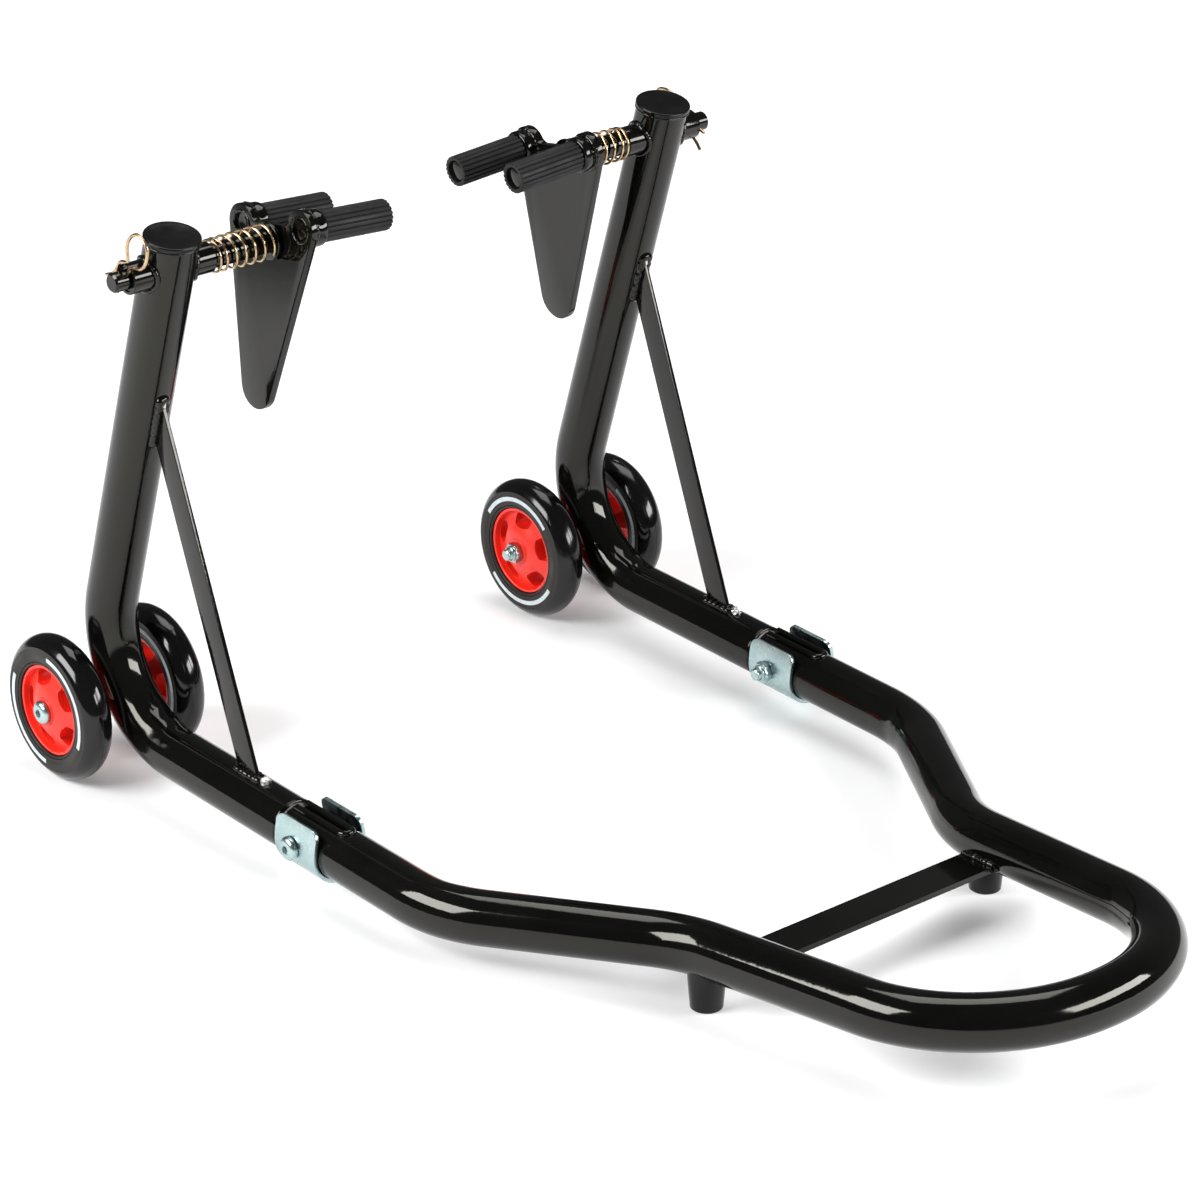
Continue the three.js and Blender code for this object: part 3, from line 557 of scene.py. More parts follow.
# Places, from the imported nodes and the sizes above
axle = middle("left_outer_tyre")
axle.x = 0
lift_axis = middle("left_spring_seat")
lift_axis.x = 0
axle_to_bend = LEG_BEND_RADIUS + TUBE_RADIUS + AXLE_TUBE_RADIUS + GAP
toward_axle = in_plane(math.cos(AXLE_BEARING), math.sin(AXLE_BEARING))
bend_centre = axle - toward_axle * axle_to_bend
upward = in_plane(-math.sin(UPRIGHT_LEAN), math.cos(UPRIGHT_LEAN))
forward = in_plane(-math.cos(BASE_SLOPE), -math.sin(BASE_SLOPE))
leg_turn = (-upward).angle(forward)
base_touch = bend_centre - in_plane(-math.sin(BASE_SLOPE), math.cos(BASE_SLOPE)) * LEG_BEND_RADIUS
leg_corner = base_touch - forward * LEG_BEND_RADIUS * math.tan(leg_turn / 2)


def on_upright(height):
    return leg_corner + upward * (height - leg_corner.z) / upward.z


def on_base(reach):
    return leg_corner + forward * (axle.y - reach - leg_corner.y) / forward.y


cap_bottom = on_upright(LEG_HEIGHT) - upward * CAP_THICKNESS
leg_end = on_base(LEG_END_REACH)
handle_start = on_base(LEG_END_REACH + JOINT_GAP)
clamp_bolt_at = on_base(LEG_END_REACH + JOINT_GAP + CLAMP_BOLT_INSET)
plate_inner = -PLATE_TO_LEG - PLATE_THICKNESS


def on_head(u, v):
    return turn_about_x(PLATE_HANG) @ in_plane(u, v) + lift_axis


# Leg and its welds
def leg_stations():
    """The leg's line with its radius at each point: cap, bend, round shoulder and bare end."""
    stations = route([
        (cap_bottom + upward * CAP_OVERLAP, None),
        (leg_corner, LEG_BEND_RADIUS),
        (leg_end - forward * SHOULDER_ROUND, None),
    ])
    radii = [TUBE_RADIUS] * len(stations)
    for out, along in arc(0, 0, SHOULDER_ROUND, 0, 90, SHOULDER_STEPS)[1:]:
        stations.append((leg_end - forward * (SHOULDER_ROUND - along), forward))
        radii.append(TUBE_RADIUS - SHOULDER_ROUND + out)
    stations.append((leg_end.copy(), forward))
    stations.append((leg_end + forward * SPIGOT_LENGTH, forward))
    return stations, radii + [SPIGOT_RADIUS, SPIGOT_RADIUS]


def fold_at(share):
    """The low fold near the bend's lower end and the hollow before it, by the share of the bend."""
    fold = FOLD_HEIGHT * math.exp(-(((share - FOLD_SHARE) / FOLD_SPAN) ** 2))
    hollow = HOLLOW_DEPTH * math.exp(-(((share - HOLLOW_SHARE) / HOLLOW_SPAN) ** 2))
    return fold - hollow


def leg_tube():
    stations, radii = leg_stations()
    # After the bend come the base's end, the shoulder and the two ends of the bare part.
    bend_last = len(stations) - SHOULDER_STEPS - 4

    def radius_at(i, spoke):
        share = i / bend_last
        if share >= 1:
            return radii[i]
        inward = max(0.0, spoke.dot((bend_centre - stations[i][0]).normalized()))
        return radii[i] + fold_at(share) * inward ** FOLD_FOCUS

    return tube(stations, radius_at)


def spigot_ring():
    """The bare end of the leg that shows between the leg and the handle."""
    ends = [(leg_end.copy(), forward), (handle_start + forward * SPIGOT_IN_HANDLE, forward)]
    return tube(ends, lambda i, spoke: SPIGOT_RADIUS + SPIGOT_PROUD)


def top_cap():
    edge = 0.001
    dish = CAP_THICKNESS - CAP_DISH_DEPTH
    profile = [(0, 0)] + rounded_rims(0, CAP_THICKNESS, CAP_RADIUS, edge)
    profile += [(CAP_THICKNESS, CAP_RADIUS * CAP_RIM_INSIDE), (dish, CAP_RADIUS * CAP_DISH_FROM), (dish, 0)]
    return moved(spun(upright(turned(profile, sides=96)), CAP_LEAN), cap_bottom)


def ring_points(centre, axis, first, radius, count=120):
    """Points on a circle round an axis, from the first direction on, with each one's spoke."""
    spokes = []
    for k in range(count):
        spokes.append(Matrix.Rotation(math.tau * k / count, 3, axis) @ first)
    return [centre + spoke * radius for spoke in spokes], spokes


def cap_weld():
    sink = 0.0004
    on_skin = TUBE_RADIUS + 0.0001
    cap_axis = in_plane(-math.sin(CAP_LEAN), math.cos(CAP_LEAN))
    return bead(*ring_points(cap_bottom - cap_axis * sink, cap_axis, ACROSS, on_skin), CAP_BEAD)


def short_tube(half_length, radius, bore, edge, sides, at):
    """A tube along X with rounded rims."""
    outside = rounded_rims(-half_length, half_length, radius, edge)
    return turned([(-half_length, bore)] + outside + [(half_length, bore)], sides, at)


def lift_tube():
    bore = PIN_RADIUS + 0.0001
    edge = 0.0007
    return short_tube(LIFT_TUBE_HALF_LENGTH, LIFT_TUBE_RADIUS, bore, edge, 64, lift_axis)


def lift_tube_weld(outer):
    """The bead where the lift tube leaves the upright, on the outer (1) or the inner (-1) side."""
    beside_tube = LIFT_TUBE_RADIUS + 0.0007
    on_skin = TUBE_RADIUS + 0.0006
    points, outward = ring_points(lift_axis, ACROSS, in_plane(1, 0), beside_tube)
    for point, spoke in zip(points, outward):
        point.x = outer * math.sqrt(on_skin ** 2 - (beside_tube * spoke.dot(quarter(upward))) ** 2)
    return bead(points, outward, LIFT_TUBE_BEAD)


def axle_tube():
    edge = 0.0008
    return short_tube(AXLE_TUBE_HALF_LENGTH, AXLE_TUBE_RADIUS, BOLT_RADIUS + GAP, edge, 56, axle)


def axle_weld(turn):
    """The bead in the corner between the bend and the axle tube, above (1) or below (-1) it."""
    size = AXLE_BEAD[0]
    stand_off = 0.4 * size
    beside = -quarter(toward_axle) * turn

    def point_at(share):
        x = AXLE_BEAD_REACH * share
        a = LEG_BEND_RADIUS + math.sqrt((TUBE_RADIUS + stand_off) ** 2 - x ** 2)
        b = AXLE_TUBE_RADIUS + stand_off
        along = (a * a - b * b + axle_to_bend ** 2) / (2 * axle_to_bend)
        height = math.sqrt(max(a * a - along * along, size ** 2))
        return ACROSS * x + bend_centre + toward_axle * along + beside * height

    return open_bead(point_at, 32, beside, AXLE_BEAD)


def gusset_ends():
    """Where the flat bar's middle line meets the skin of the upright and of the base."""
    front = TUBE_RADIUS / math.cos(UPRIGHT_LEAN)
    top = on_upright(GUSSET_HEIGHT) + in_plane(-front, 0)
    foot = on_base(GUSSET_REACH) + in_plane(0, TUBE_RADIUS)
    return top, foot


def gusset():
    """The flat bar from the upright to the base, whose ends reach into both."""
    top, foot = gusset_ends()
    along = (foot - top).normalized()
    across = quarter(along) * (GUSSET_WIDTH / 2)
    top = top - along * GUSSET_IN_UPRIGHT
    foot = foot + along * GUSSET_IN_BASE
    outline = [top + across, foot + across, foot - across, top - across]
    return flat_piece([[(p.y, p.z) for p in outline]], GUSSET_THICKNESS, SHEET_EDGE)


def racetrack(start, end, normal, half_width, count=26):
    """Points round a long narrow footprint from start to end, which lies across X, and their normals."""
    along = (end - start).normalized()
    corners = []
    for centre, lead, side in ((end, along, 1), (start, -along, -1)):
        for k in range(count + 1):
            angle = math.pi * k / count
            spoke = ACROSS * math.cos(angle) * side + lead * math.sin(angle)
            corners.append((centre + spoke * half_width, (spoke + normal).normalized()))
    points = []
    outward = []
    for (a, normal_a), (b, normal_b) in zip(corners, corners[1:] + corners[:1]):
        steps = max(1, round((b - a).length / BEAD_SPACING))
        for k in range(steps):
            points.append(a.lerp(b, k / steps))
            outward.append(normal_a.lerp(normal_b, k / steps))
    return points, outward


def gusset_weld(at, tube_line, skin, sink, size):
    """The bead round the flat bar's end on a tube, whose line and outer side are given."""
    top, foot = gusset_ends()
    stand_off = 0.0008
    half_width = GUSSET_THICKNESS / 2 + stand_off
    half = tube_line * (GUSSET_WIDTH / 2 / math.sin((foot - top).angle(-tube_line)))
    centre = at - skin * sink
    return bead(*racetrack(centre + half, centre - half, skin, half_width), size)


def gusset_weld_at_upright():
    return gusset_weld(gusset_ends()[0], upward, -quarter(upward), GUSSET_TOP_SINK, GUSSET_TOP_BEAD)


def gusset_weld_at_base():
    return gusset_weld(gusset_ends()[1], forward, quarter(forward), GUSSET_FOOT_SINK, GUSSET_FOOT_BEAD)


def weld_blobs():
    """Three lumps of bare metal beside the flat bar's welds."""
    top, foot = gusset_ends()
    return {
        "upper": lump(top + upward * 0.014, 0.003, (1.2, 0.8, 1.6)),
        "middle": lump(top + upward * 0.006 - ACROSS * 0.002, 0.0024, (1.2, 0.8, 1.2)),
        "lower": lump(foot + forward * 0.017 + in_plane(0, 0.001), 0.0032, (1.2, 1.2, 1.3)),
    }


# Wheels
def tyre_profile():
    """Half of the tyre's section, from the seam to the bead, as x and radius."""
    centre = WHEEL_RADIUS - TREAD_RADIUS
    shoulder = math.asin((SHOULDER_RADIUS - centre) / TREAD_RADIUS)
    beside_seam = 89.2
    over_rim = 0.0006
    bead_rise, bead_radius = 0.0014, 0.0011
    half = [(0.0, WHEEL_RADIUS), (SEAM_HALF_WIDTH, WHEEL_RADIUS - SEAM_HEIGHT)]
    half += arc(0, centre, TREAD_RADIUS, beside_seam, math.degrees(shoulder), 22)
    half.append((TYRE_HALF_WIDTH * math.cos(shoulder), SHOULDER_RADIUS - SHOULDER_STEP))
    for share, radius in WALL:
        half.append((TYRE_HALF_WIDTH * share, radius))
    half += arc(RIM_HALF_WIDTH + over_rim, RIM_RADIUS + bead_rise, bead_radius, 60, -110)
    return half + [(RIM_HALF_WIDTH - over_rim, RIM_RADIUS + GAP)]


def tyre(ring_turn):
    """A tyre whose side walls and white arcs have their own materials; the arcs are turned."""
    half = tyre_profile()
    profile = half[::-1][:-1] + [(-x, r) for x, r in half]
    mesh = turned(profile, TYRE_SIDES)
    for polygon in mesh.polygons:
        x, y, z = polygon.center
        radius = math.hypot(y, z)
        angle = (math.atan2(z, y) - ring_turn) % math.pi
        in_ring = RING_OUTER - RING_WIDTH < radius < RING_OUTER and abs(x) > RIM_HALF_WIDTH
        if in_ring and abs(angle - math.pi / 2) < RING_ARC / 2:
            polygon.material_index = 2
        elif radius < WALL_TOP and abs(x) > RIM_HALF_WIDTH - 0.001:
            polygon.material_index = 1
    return mesh


def hub_profile():
    """Half of the hub's section, from the rim over its lip and face to the boss and the bore."""
    edge = 0.0006
    boss_edge = 0.0008
    rim_back = 0.0004
    lip = RIM_HALF_WIDTH - edge + GAP
    half = [(RIM_HALF_WIDTH - rim_back, RIM_RADIUS)]
    half += arc(lip, RIM_RADIUS - edge, edge, 90, 0, 4)
    half += arc(lip, RIM_RADIUS - HUB_LIP + edge, edge, 0, -90, 4)
    half += HUB_FACE
    half += arc(BOSS_HALF_WIDTH - boss_edge, BOSS_RADIUS - boss_edge, boss_edge, 90, 0, 4)
    return half + [(BOSS_HALF_WIDTH, HUB_BORE_RADIUS)]


def rounded_corner(start, pull, end, steps=6):
    """Points on a curve toward end that bends toward pull, without its start."""
    points = []
    for k in range(1, steps + 1):
        share = k / steps
        points.append(start.lerp(pull, share).lerp(pull.lerp(end, share), share))
    return points


def rod(outline, start, end):
    """A solid between two copies of an outline, which are moved to its start and its end."""
    return skin_rings([[point + shift for point in outline] for shift in (start, end)])


def window_cutter(turn):
    """A rod along X whose section is a rounded window between two spokes."""
    half = WINDOW_ANGLE / 2
    arc_half = half - WINDOW_CORNER / WINDOW_OUTER
    outer = WINDOW_OUTER - WINDOW_CORNER
    inner = WINDOW_INNER + WINDOW_CORNER * 0.6
    innermost = WINDOW_INNER * 0.98
    steps = 8

    def at(radius, angle):
        return in_plane(radius * math.cos(angle), radius * math.sin(angle))

    outline = [at(WINDOW_OUTER, arc_half * (2 * k / steps - 1)) for k in range(steps + 1)]
    outline += rounded_corner(outline[-1], at(WINDOW_OUTER, half), at(outer, half))
    outline.append(at(inner, half))
    outline += rounded_corner(outline[-1], in_plane(innermost, 0), at(inner, -half))
    outline.append(at(outer, -half))
    outline += rounded_corner(outline[-1], at(WINDOW_OUTER, -half), outline[0])[:-1]
    swing = turn_about_x(turn)
    past_hub = ACROSS * 0.03
    return rod([swing @ point for point in outline], -past_hub, past_hub)


def hub():
    """A hub with a rounded window between every two of its spokes."""
    half = hub_profile()
    profile = half + [(-x, r) for x, r in reversed(half)]
    mesh = turned(profile, HUB_SIDES)
    cutters = []
    for k in range(SPOKE_COUNT):
        cutters.append(window_cutter(math.tau * k / SPOKE_COUNT + math.pi / 2))
    return carved(mesh, cutters)


def button_head(seat):
    """A domed head with a hexagon socket, as profile points from its seat to the socket's bottom."""
    edge = 0.0003
    top = seat + BUTTON_HEIGHT
    profile = [(seat, 0), (seat, BUTTON_RADIUS - edge), (seat + edge, BUTTON_RADIUS)]
    for out, up in arc(0, 0, 1, 0, 90, 8):
        x = seat + BUTTON_RIM + (BUTTON_HEIGHT - BUTTON_RIM) * up
        profile.append((x, CROWN_RADIUS + (BUTTON_RADIUS - CROWN_RADIUS) * out))
    profile += [(top, SOCKET_FLAT + edge, hexagon), (top - edge, SOCKET_FLAT, hexagon)]
    return profile + [(top - SOCKET_DEPTH, SOCKET_FLAT, hexagon), (top - SOCKET_DEPTH - 2 * edge, 0)]


def threaded_tail(seat):
    """A bolt's shank that ends in a thread, toward -x."""
    chamfer = 0.0006
    tip_radius = BOLT_RADIUS - 0.0008
    last_radius = BOLT_RADIUS - 0.0001
    x = -seat - NUT_HEIGHT * THREAD_FROM
    end = -seat - NUT_HEIGHT - BOLT_TAIL
    profile = [(seat, 0), (seat, BOLT_RADIUS), (x, BOLT_RADIUS)]
    while x - THREAD_PITCH > end + chamfer:
        profile.append((x - THREAD_PITCH / 2, BOLT_RADIUS - THREAD_DEPTH))
        x -= THREAD_PITCH
        profile.append((x, BOLT_RADIUS))
    return profile + [(end + chamfer, last_radius), (end, tip_radius), (end, 0)]


def bolt(seat, at):
    """A button-headed bolt along X, whose head sits at its seat and whose nut sits opposite."""
    work = bmesh.new()
    work.from_mesh(turned(button_head(seat)))
    work.from_mesh(turned(threaded_tail(seat), sides=32))
    mesh = bpy.data.meshes.new("bolt")
    work.to_mesh(mesh)
    work.free()
    mesh.shade_smooth()
    mesh.set_sharp_from_angle(angle=SHARP_ANGLE)
    return moved(mesh, at)


def nut(seat, at):
    """A locking nut whose seat faces +x: a chamfered hexagon and the round collar of its insert."""
    bore = BOLT_RADIUS + 0.0002
    chamfer = 0.0005
    collar = 0.0009
    insert_depth = 0.0006
    far = seat - NUT_HEIGHT
    shoulder = seat - NUT_HEIGHT * HEXAGON_SHARE
    seat_radius = NUT_FLAT - 0.0002
    shoulder_radius = NUT_FLAT - 0.0001
    profile = [(seat, bore), (seat, seat_radius), (seat - chamfer, NUT_FLAT, hexagon)]
    profile += [(shoulder + chamfer, NUT_FLAT, hexagon), (shoulder, shoulder_radius)]
    profile += [(shoulder, NUT_FLAT - collar)]
    profile += arc(far + collar, NUT_FLAT - 2 * collar, collar, 90, 180, 5)
    return turned(profile + [(far, bore + chamfer), (far + insert_depth, bore)], at=at)


# Head
def lift_pin():
    """The pin from the plate through its tube, with a thinner chamfered tip for the clip."""
    into_plate = 0.001
    before_tube_end = 0.001
    edge = 0.0006
    start = plate_inner - into_plate
    step = LIFT_TUBE_HALF_LENGTH - before_tube_end
    tip = LIFT_TUBE_HALF_LENGTH + PIN_TIP_LENGTH
    profile = [(start, 0), (start, PIN_RADIUS - edge), (start + edge, PIN_RADIUS)]
    profile += [(step, PIN_RADIUS), (step, PIN_TIP_RADIUS), (tip - PIN_CHAMFER, PIN_TIP_RADIUS)]
    profile += [(tip, PIN_TIP_RADIUS - PIN_CHAMFER), (tip, 0)]
    return turned(profile, at=lift_axis)


def tangent_bearing(start, end, start_radius, end_radius):
    """The bearing, from a round corner's middle, of where the straight edge to the next one begins."""
    run = end - start
    lean = math.asin((end_radius - start_radius) / run.length)
    return math.degrees(math.atan2(run.y, run.x) - math.pi / 2 - lean)


def onward(start, end):
    """The end bearing as one that is reached by turning forward from the start."""
    return start + (end - start) % 360


def plate_outline():
    """The plate's rim: a round foot and two round ears, with a rounded notch between them."""
    foot = Vector((EAR_SPREAD, -PLATE_DROP))
    far_ear = Vector((-EAR_SPREAD, EAR_RISE))
    near_ear = Vector((EAR_SPREAD, EAR_RISE))
    right = tangent_bearing(foot, near_ear, PLATE_FOOT_RADIUS, EAR_RADIUS)
    left = tangent_bearing(far_ear, foot, EAR_RADIUS, PLATE_FOOT_RADIUS)
    fillet_rise = NOTCH_RISE + NOTCH_FILLET
    side = math.sqrt((EAR_RADIUS + NOTCH_FILLET) ** 2 - (fillet_rise - EAR_RISE) ** 2)
    ear_angle = math.degrees(math.atan2(fillet_rise - EAR_RISE, side))
    fillet_at = EAR_SPREAD - side
    outline = arc(*foot, PLATE_FOOT_RADIUS, left, onward(left, right), 28)
    outline += arc(*near_ear, EAR_RADIUS, right, onward(right, 180 - ear_angle), 28)
    outline += arc(fillet_at, fillet_rise, NOTCH_FILLET, -ear_angle, -90, 12)
    outline += arc(-fillet_at, fillet_rise, NOTCH_FILLET, -90, ear_angle - 180, 12)
    return outline + arc(*far_ear, EAR_RADIUS, ear_angle, onward(ear_angle, left), 28)


def lift_plate():
    outlines = [plate_outline()]
    for side in (-1, 1):
        outlines.append(arc(side * EAR_SPREAD, EAR_RISE, EAR_HOLE_RADIUS, 0, 360, 40)[:-1])
    mesh = spun(flat_piece(outlines, PLATE_THICKNESS, PLATE_EDGE), PLATE_HANG)
    return moved(mesh, lift_axis - ACROSS * (PLATE_TO_LEG + PLATE_THICKNESS / 2))


def weld_round(at, x, radius, size):
    """A bead in a ring about X."""
    return bead(*ring_points(at + ACROSS * x, ACROSS, in_plane(1, 0), radius, 96), size)


def tilted(mesh):
    """The mesh with the plate's slight lean, which lets the pegs hang down toward their tips."""
    joint = lift_axis - ACROSS * PLATE_TO_LEG
    lean = Matrix.Rotation(-HEAD_TILT, 4, "Y")
    mesh.transform(Matrix.Translation(joint) @ lean @ Matrix.Translation(-joint))
    return mesh


def peg(side):
    """A steel peg: its tip in the sleeve, its collar with a groove, and its end in the plate's ear."""
    tip = plate_inner - PEG_LENGTH + CORE_RECESS
    collar_end = plate_inner - GAP - COLLAR_LENGTH
    collar_round = 0.0018
    outer = -PLATE_TO_LEG - EAR_RECESS
    dimple_depth = 0.0006
    profile = [(tip, 0)]
    for back, less in PEG_TIP:
        profile.append((tip + back, PEG_CORE_RADIUS - less))
    profile += [(collar_end, PEG_CORE_RADIUS)]
    profile += arc(collar_end + collar_round, COLLAR_RADIUS - collar_round, collar_round, 180, 90)
    for back, less in COLLAR_GROOVE:
        profile.append((plate_inner - back, COLLAR_RADIUS - less))
    profile += [(plate_inner, PEG_CORE_RADIUS), (outer, PEG_CORE_RADIUS), (outer, DIMPLE_RADIUS)]
    profile += [(outer - dimple_depth, DIMPLE_FLOOR_RADIUS), (outer - dimple_depth, 0)]
    return turned(profile, sides=56, at=on_head(side * EAR_SPREAD, EAR_RISE))


def grooved(radius, angle):
    """The radius less the sleeve's grooves, which are narrow and round-bottomed between wide ribs."""
    share = (angle * RUBBER_GROOVES / math.tau) % 1
    if share > GROOVE_SHARE:
        return radius
    return radius - RUBBER_GROOVE * math.sin(math.pi * share / GROOVE_SHARE) ** 0.8


def peg_rubber(side):
    """A rubber sleeve with rounded ends and grooves along it."""
    start = plate_inner - PEG_LENGTH
    end = plate_inner - 2 * GAP - COLLAR_LENGTH
    edge = 0.0006
    bore = PEG_CORE_RADIUS + 0.0002
    mouth = bore + 0.0004
    profile = [(start + GAP, bore), (start, mouth)]
    profile += [(x, radius, grooved) for x, radius in rounded_rims(start, end, RUBBER_RADIUS, edge, 4)]
    profile += [(end, bore)]
    return turned(profile, sides=RUBBER_GROOVES * 12, at=on_head(side * EAR_SPREAD, EAR_RISE))


def spring_seat():
    """The ring on the pin that holds the spring's end, with a chamfer and a rounded rim."""
    edge = 0.0009
    chamfer, chamfer_drop = 0.0004, 0.0002
    start = -SEAT_FROM
    end = start + SEAT_THICKNESS
    profile = [(start, PIN_RADIUS), (start, SEAT_RADIUS - chamfer_drop), (start + chamfer, SEAT_RADIUS)]
    profile += arc(end - edge, SEAT_RADIUS - edge, edge, 90, 0)
    return turned(profile + [(end, PIN_RADIUS)], sides=64, at=lift_axis)


def spring():
    start = -LIFT_TUBE_HALF_LENGTH - GAP - WIRE_RADIUS
    end = -SEAT_FROM + SEAT_THICKNESS + GAP + WIRE_RADIUS
    total = CLOSED_CURLS + OPEN_CURLS
    open_pitch = (start - end - CLOSED_CURLS * CLOSED_PITCH) / OPEN_CURLS
    steps = round(total * CURL_STEPS)
    points = []
    for k in range(steps + 1):
        turns = total * k / steps
        share = turns / total
        radius = SPRING_RADIUS_AT_TUBE + (SPRING_RADIUS_AT_SEAT - SPRING_RADIUS_AT_TUBE) * share
        along = min(turns, CLOSED_CURLS) * CLOSED_PITCH + max(turns - CLOSED_CURLS, 0) * open_pitch
        angle = math.tau * turns
        points.append(Vector((start - along, radius * math.cos(angle), radius * math.sin(angle))))
    stations = with_directions(points)
    normals = squared(stations, [in_plane(point.y, point.z) for point in points])
    return moved(tube(stations, lambda i, spoke: WIRE_RADIUS, 12, normals), lift_axis)


def clip(turn):
    """A hairpin clip: a straight leg through the pin, an open loop above it and a leg round the pin."""
    beside_pin = PIN_TIP_RADIUS + 3 * CLIP_WIRE_RADIUS
    tips = -2 * PIN_TIP_RADIUS
    neck = PIN_TIP_RADIUS + 4 * CLIP_WIRE_RADIUS + CLIP_NECK
    left = CLIP_LOOP_SHIFT - CLIP_LOOP_HALF_WIDTH
    right = CLIP_LOOP_SHIFT + CLIP_LOOP_HALF_WIDTH
    low, high, top = [neck + rise for rise in CLIP_LOOP_RISES]
    small = 0.001
    corners = [(0, tips), (0, neck - 2 * small), (-small, neck + small), (left, low), (left, high)]
    corners += [(left + CLIP_LOOP_CORNER, top), (right - CLIP_LOOP_CORNER, top), (right, high)]
    corners += [(right, low), (CLIP_WAIST, neck + small), (CLIP_WAIST, neck - small)]
    corners += [(beside_pin, PIN_TIP_RADIUS + small), (beside_pin - CLIP_GRIP, 0)]
    corners += [(beside_pin, -PIN_TIP_RADIUS), (beside_pin + CLIP_FLARE, tips)]
    at = lift_axis + ACROSS * (LIFT_TUBE_HALF_LENGTH + GAP + CLIP_WIRE_RADIUS)
    swing = turn_about_x(turn)
    stations = with_directions(softened([swing @ in_plane(*place) + at for place in corners]))
    return tube(stations, lambda i, spoke: CLIP_WIRE_RADIUS, 14)


# Clamp
def saddle_row(height):
    """How far a flange's two ends are cut back at this height, for its rounded upper corners."""
    over = max(0.0, height - (SADDLE_RISE - SADDLE_CORNER))
    return SADDLE_CORNER - math.sqrt(max(SADDLE_CORNER ** 2 - over ** 2, 0))


def saddle_section():
    """The middle line of the bent sheet, from one flange's top round under the tube to the other's."""
    radius = SADDLE_INSIDE + SADDLE_SHEET / 2
    flange_steps = 17
    flange = []
    for k in range(flange_steps):
        height = SADDLE_RISE * math.sin(math.pi / 2 * (1 - k / flange_steps))
        flange.append((radius - SADDLE_PINCH * (height / SADDLE_RISE) ** 2, height))
    return [(-x, z) for x, z in flange] + arc(0, 0, radius, 180, 360, 40) + flange[::-1]


def saddle():
    """A bent sheet: half round the tube, with straight sides whose upper corners are rounded."""
    section = saddle_section()
    count = 24
    vertices = []
    for x, z in section:
        inset = saddle_row(z)
        for k in range(count + 1):
            vertices.append((x, -inset - (SADDLE_LENGTH - 2 * inset) * k / count, z))
    faces = []
    for row in range(len(section) - 1):
        for k in range(count):
            a = row * (count + 1) + k
            faces.append((a, a + 1, a + count + 2, a + count + 1))
    mesh = bpy.data.meshes.new("saddle")
    mesh.from_pydata(vertices, [], faces)

    def build(target):
        solid = target.modifiers.new("sheet", "SOLIDIFY")
        solid.thickness = SADDLE_SHEET
        solid.offset = 0
        edge = target.modifiers.new("edge", "BEVEL")
        edge.width = SHEET_EDGE
        edge.segments = 2
        edge.limit_method = "ANGLE"
        edge.angle_limit = math.radians(50)

    mesh = modified(mesh, build)
    shade(mesh)
    return moved(spun(mesh, BASE_SLOPE), on_base(LEG_END_REACH + SADDLE_START))


# Handle
taper = on_base(TAPER_REACH) + ACROSS * LEG_HALF
neck_corner = Vector((NECK_HALF_WIDTH, axle.y - NECK_REACH, taper.z + NECK_RISE))
loop_corner = Vector((HANDLE_HALF_WIDTH, axle.y - HANDLE_REACH, taper.z + HANDLE_RISE))


def mirrored(point):
    return Vector((-point.x, point.y, point.z))


def handle_corners():
    start = handle_start + ACROSS * LEG_HALF
    half = [(start, None), (taper, TAPER_BEND_RADIUS), (neck_corner, NECK_BEND_RADIUS)]
    half.append((loop_corner, LOOP_RADIUS))
    return half + [(mirrored(point), radius) for point, radius in reversed(half)]


def bend_dents():
    """Soft flats that the bender left on the inside of bends: place, inward direction, depth, length."""
    dents = []
    for sign in SIDES.values():
        bend_in = Vector((sign * (taper.x - 0.001), taper.y + 0.004, taper.z))
        dents.append((bend_in, Vector((-sign * 0.9, 0.3, 0.35)).normalized(), *TAPER_DENT))
        loop_in = Vector((sign * (loop_corner.x + 0.004), loop_corner.y + LOOP_DENT_AFTER, loop_corner.z))
        dents.append((loop_in, Vector((-sign, 0.1, 0.2)).normalized(), *LOOP_DENT))
    return dents


def handle_stations():
    """The handle's line, with points close enough together for its dents."""
    stations = []
    coarse = route(handle_corners(), math.radians(1.5))
    for (a, da), (b, db) in zip(coarse, coarse[1:]):
        steps = max(1, round((b - a).length / HANDLE_SPACING))
        for k in range(steps):
            stations.append((a.lerp(b, k / steps), da.lerp(db, k / steps).normalized()))
    return stations + [coarse[-1]]


def slot_cutter(sign):
    """A rod through the top of the handle's end, as wide as the slot there."""
    half = SLOT_WIDTH / 2
    past_end = handle_start.y + 0.01
    above_middle, tall = 0.004, 0.036
    end = handle_start + forward * (SLOT_LENGTH - half)
    outline = arc(0, end.y, half, 180, 360, 16) + [(half, past_end), (-half, past_end)]
    start = Vector((sign * LEG_HALF, 0, handle_start.z + above_middle))
    return rod([Vector((x, y, 0)) for x, y in outline], start, start + Vector((0, 0, tall)))


def handle_tube():
    stations = handle_stations()
    dents = bend_dents()

    def radius_at(i, spoke):
        depth = 0.0
        for place, toward, most, length in dents:
            distance = (stations[i][0] - place).length
            if distance < 3 * length:
                facing = max(0.0, spoke.dot(toward))
                depth += most * facing ** 4 * math.exp(-((distance / length) ** 2))
        return TUBE_RADIUS - depth

    return carved(tube(stations, radius_at), [slot_cutter(sign) for sign in SIDES.values()])


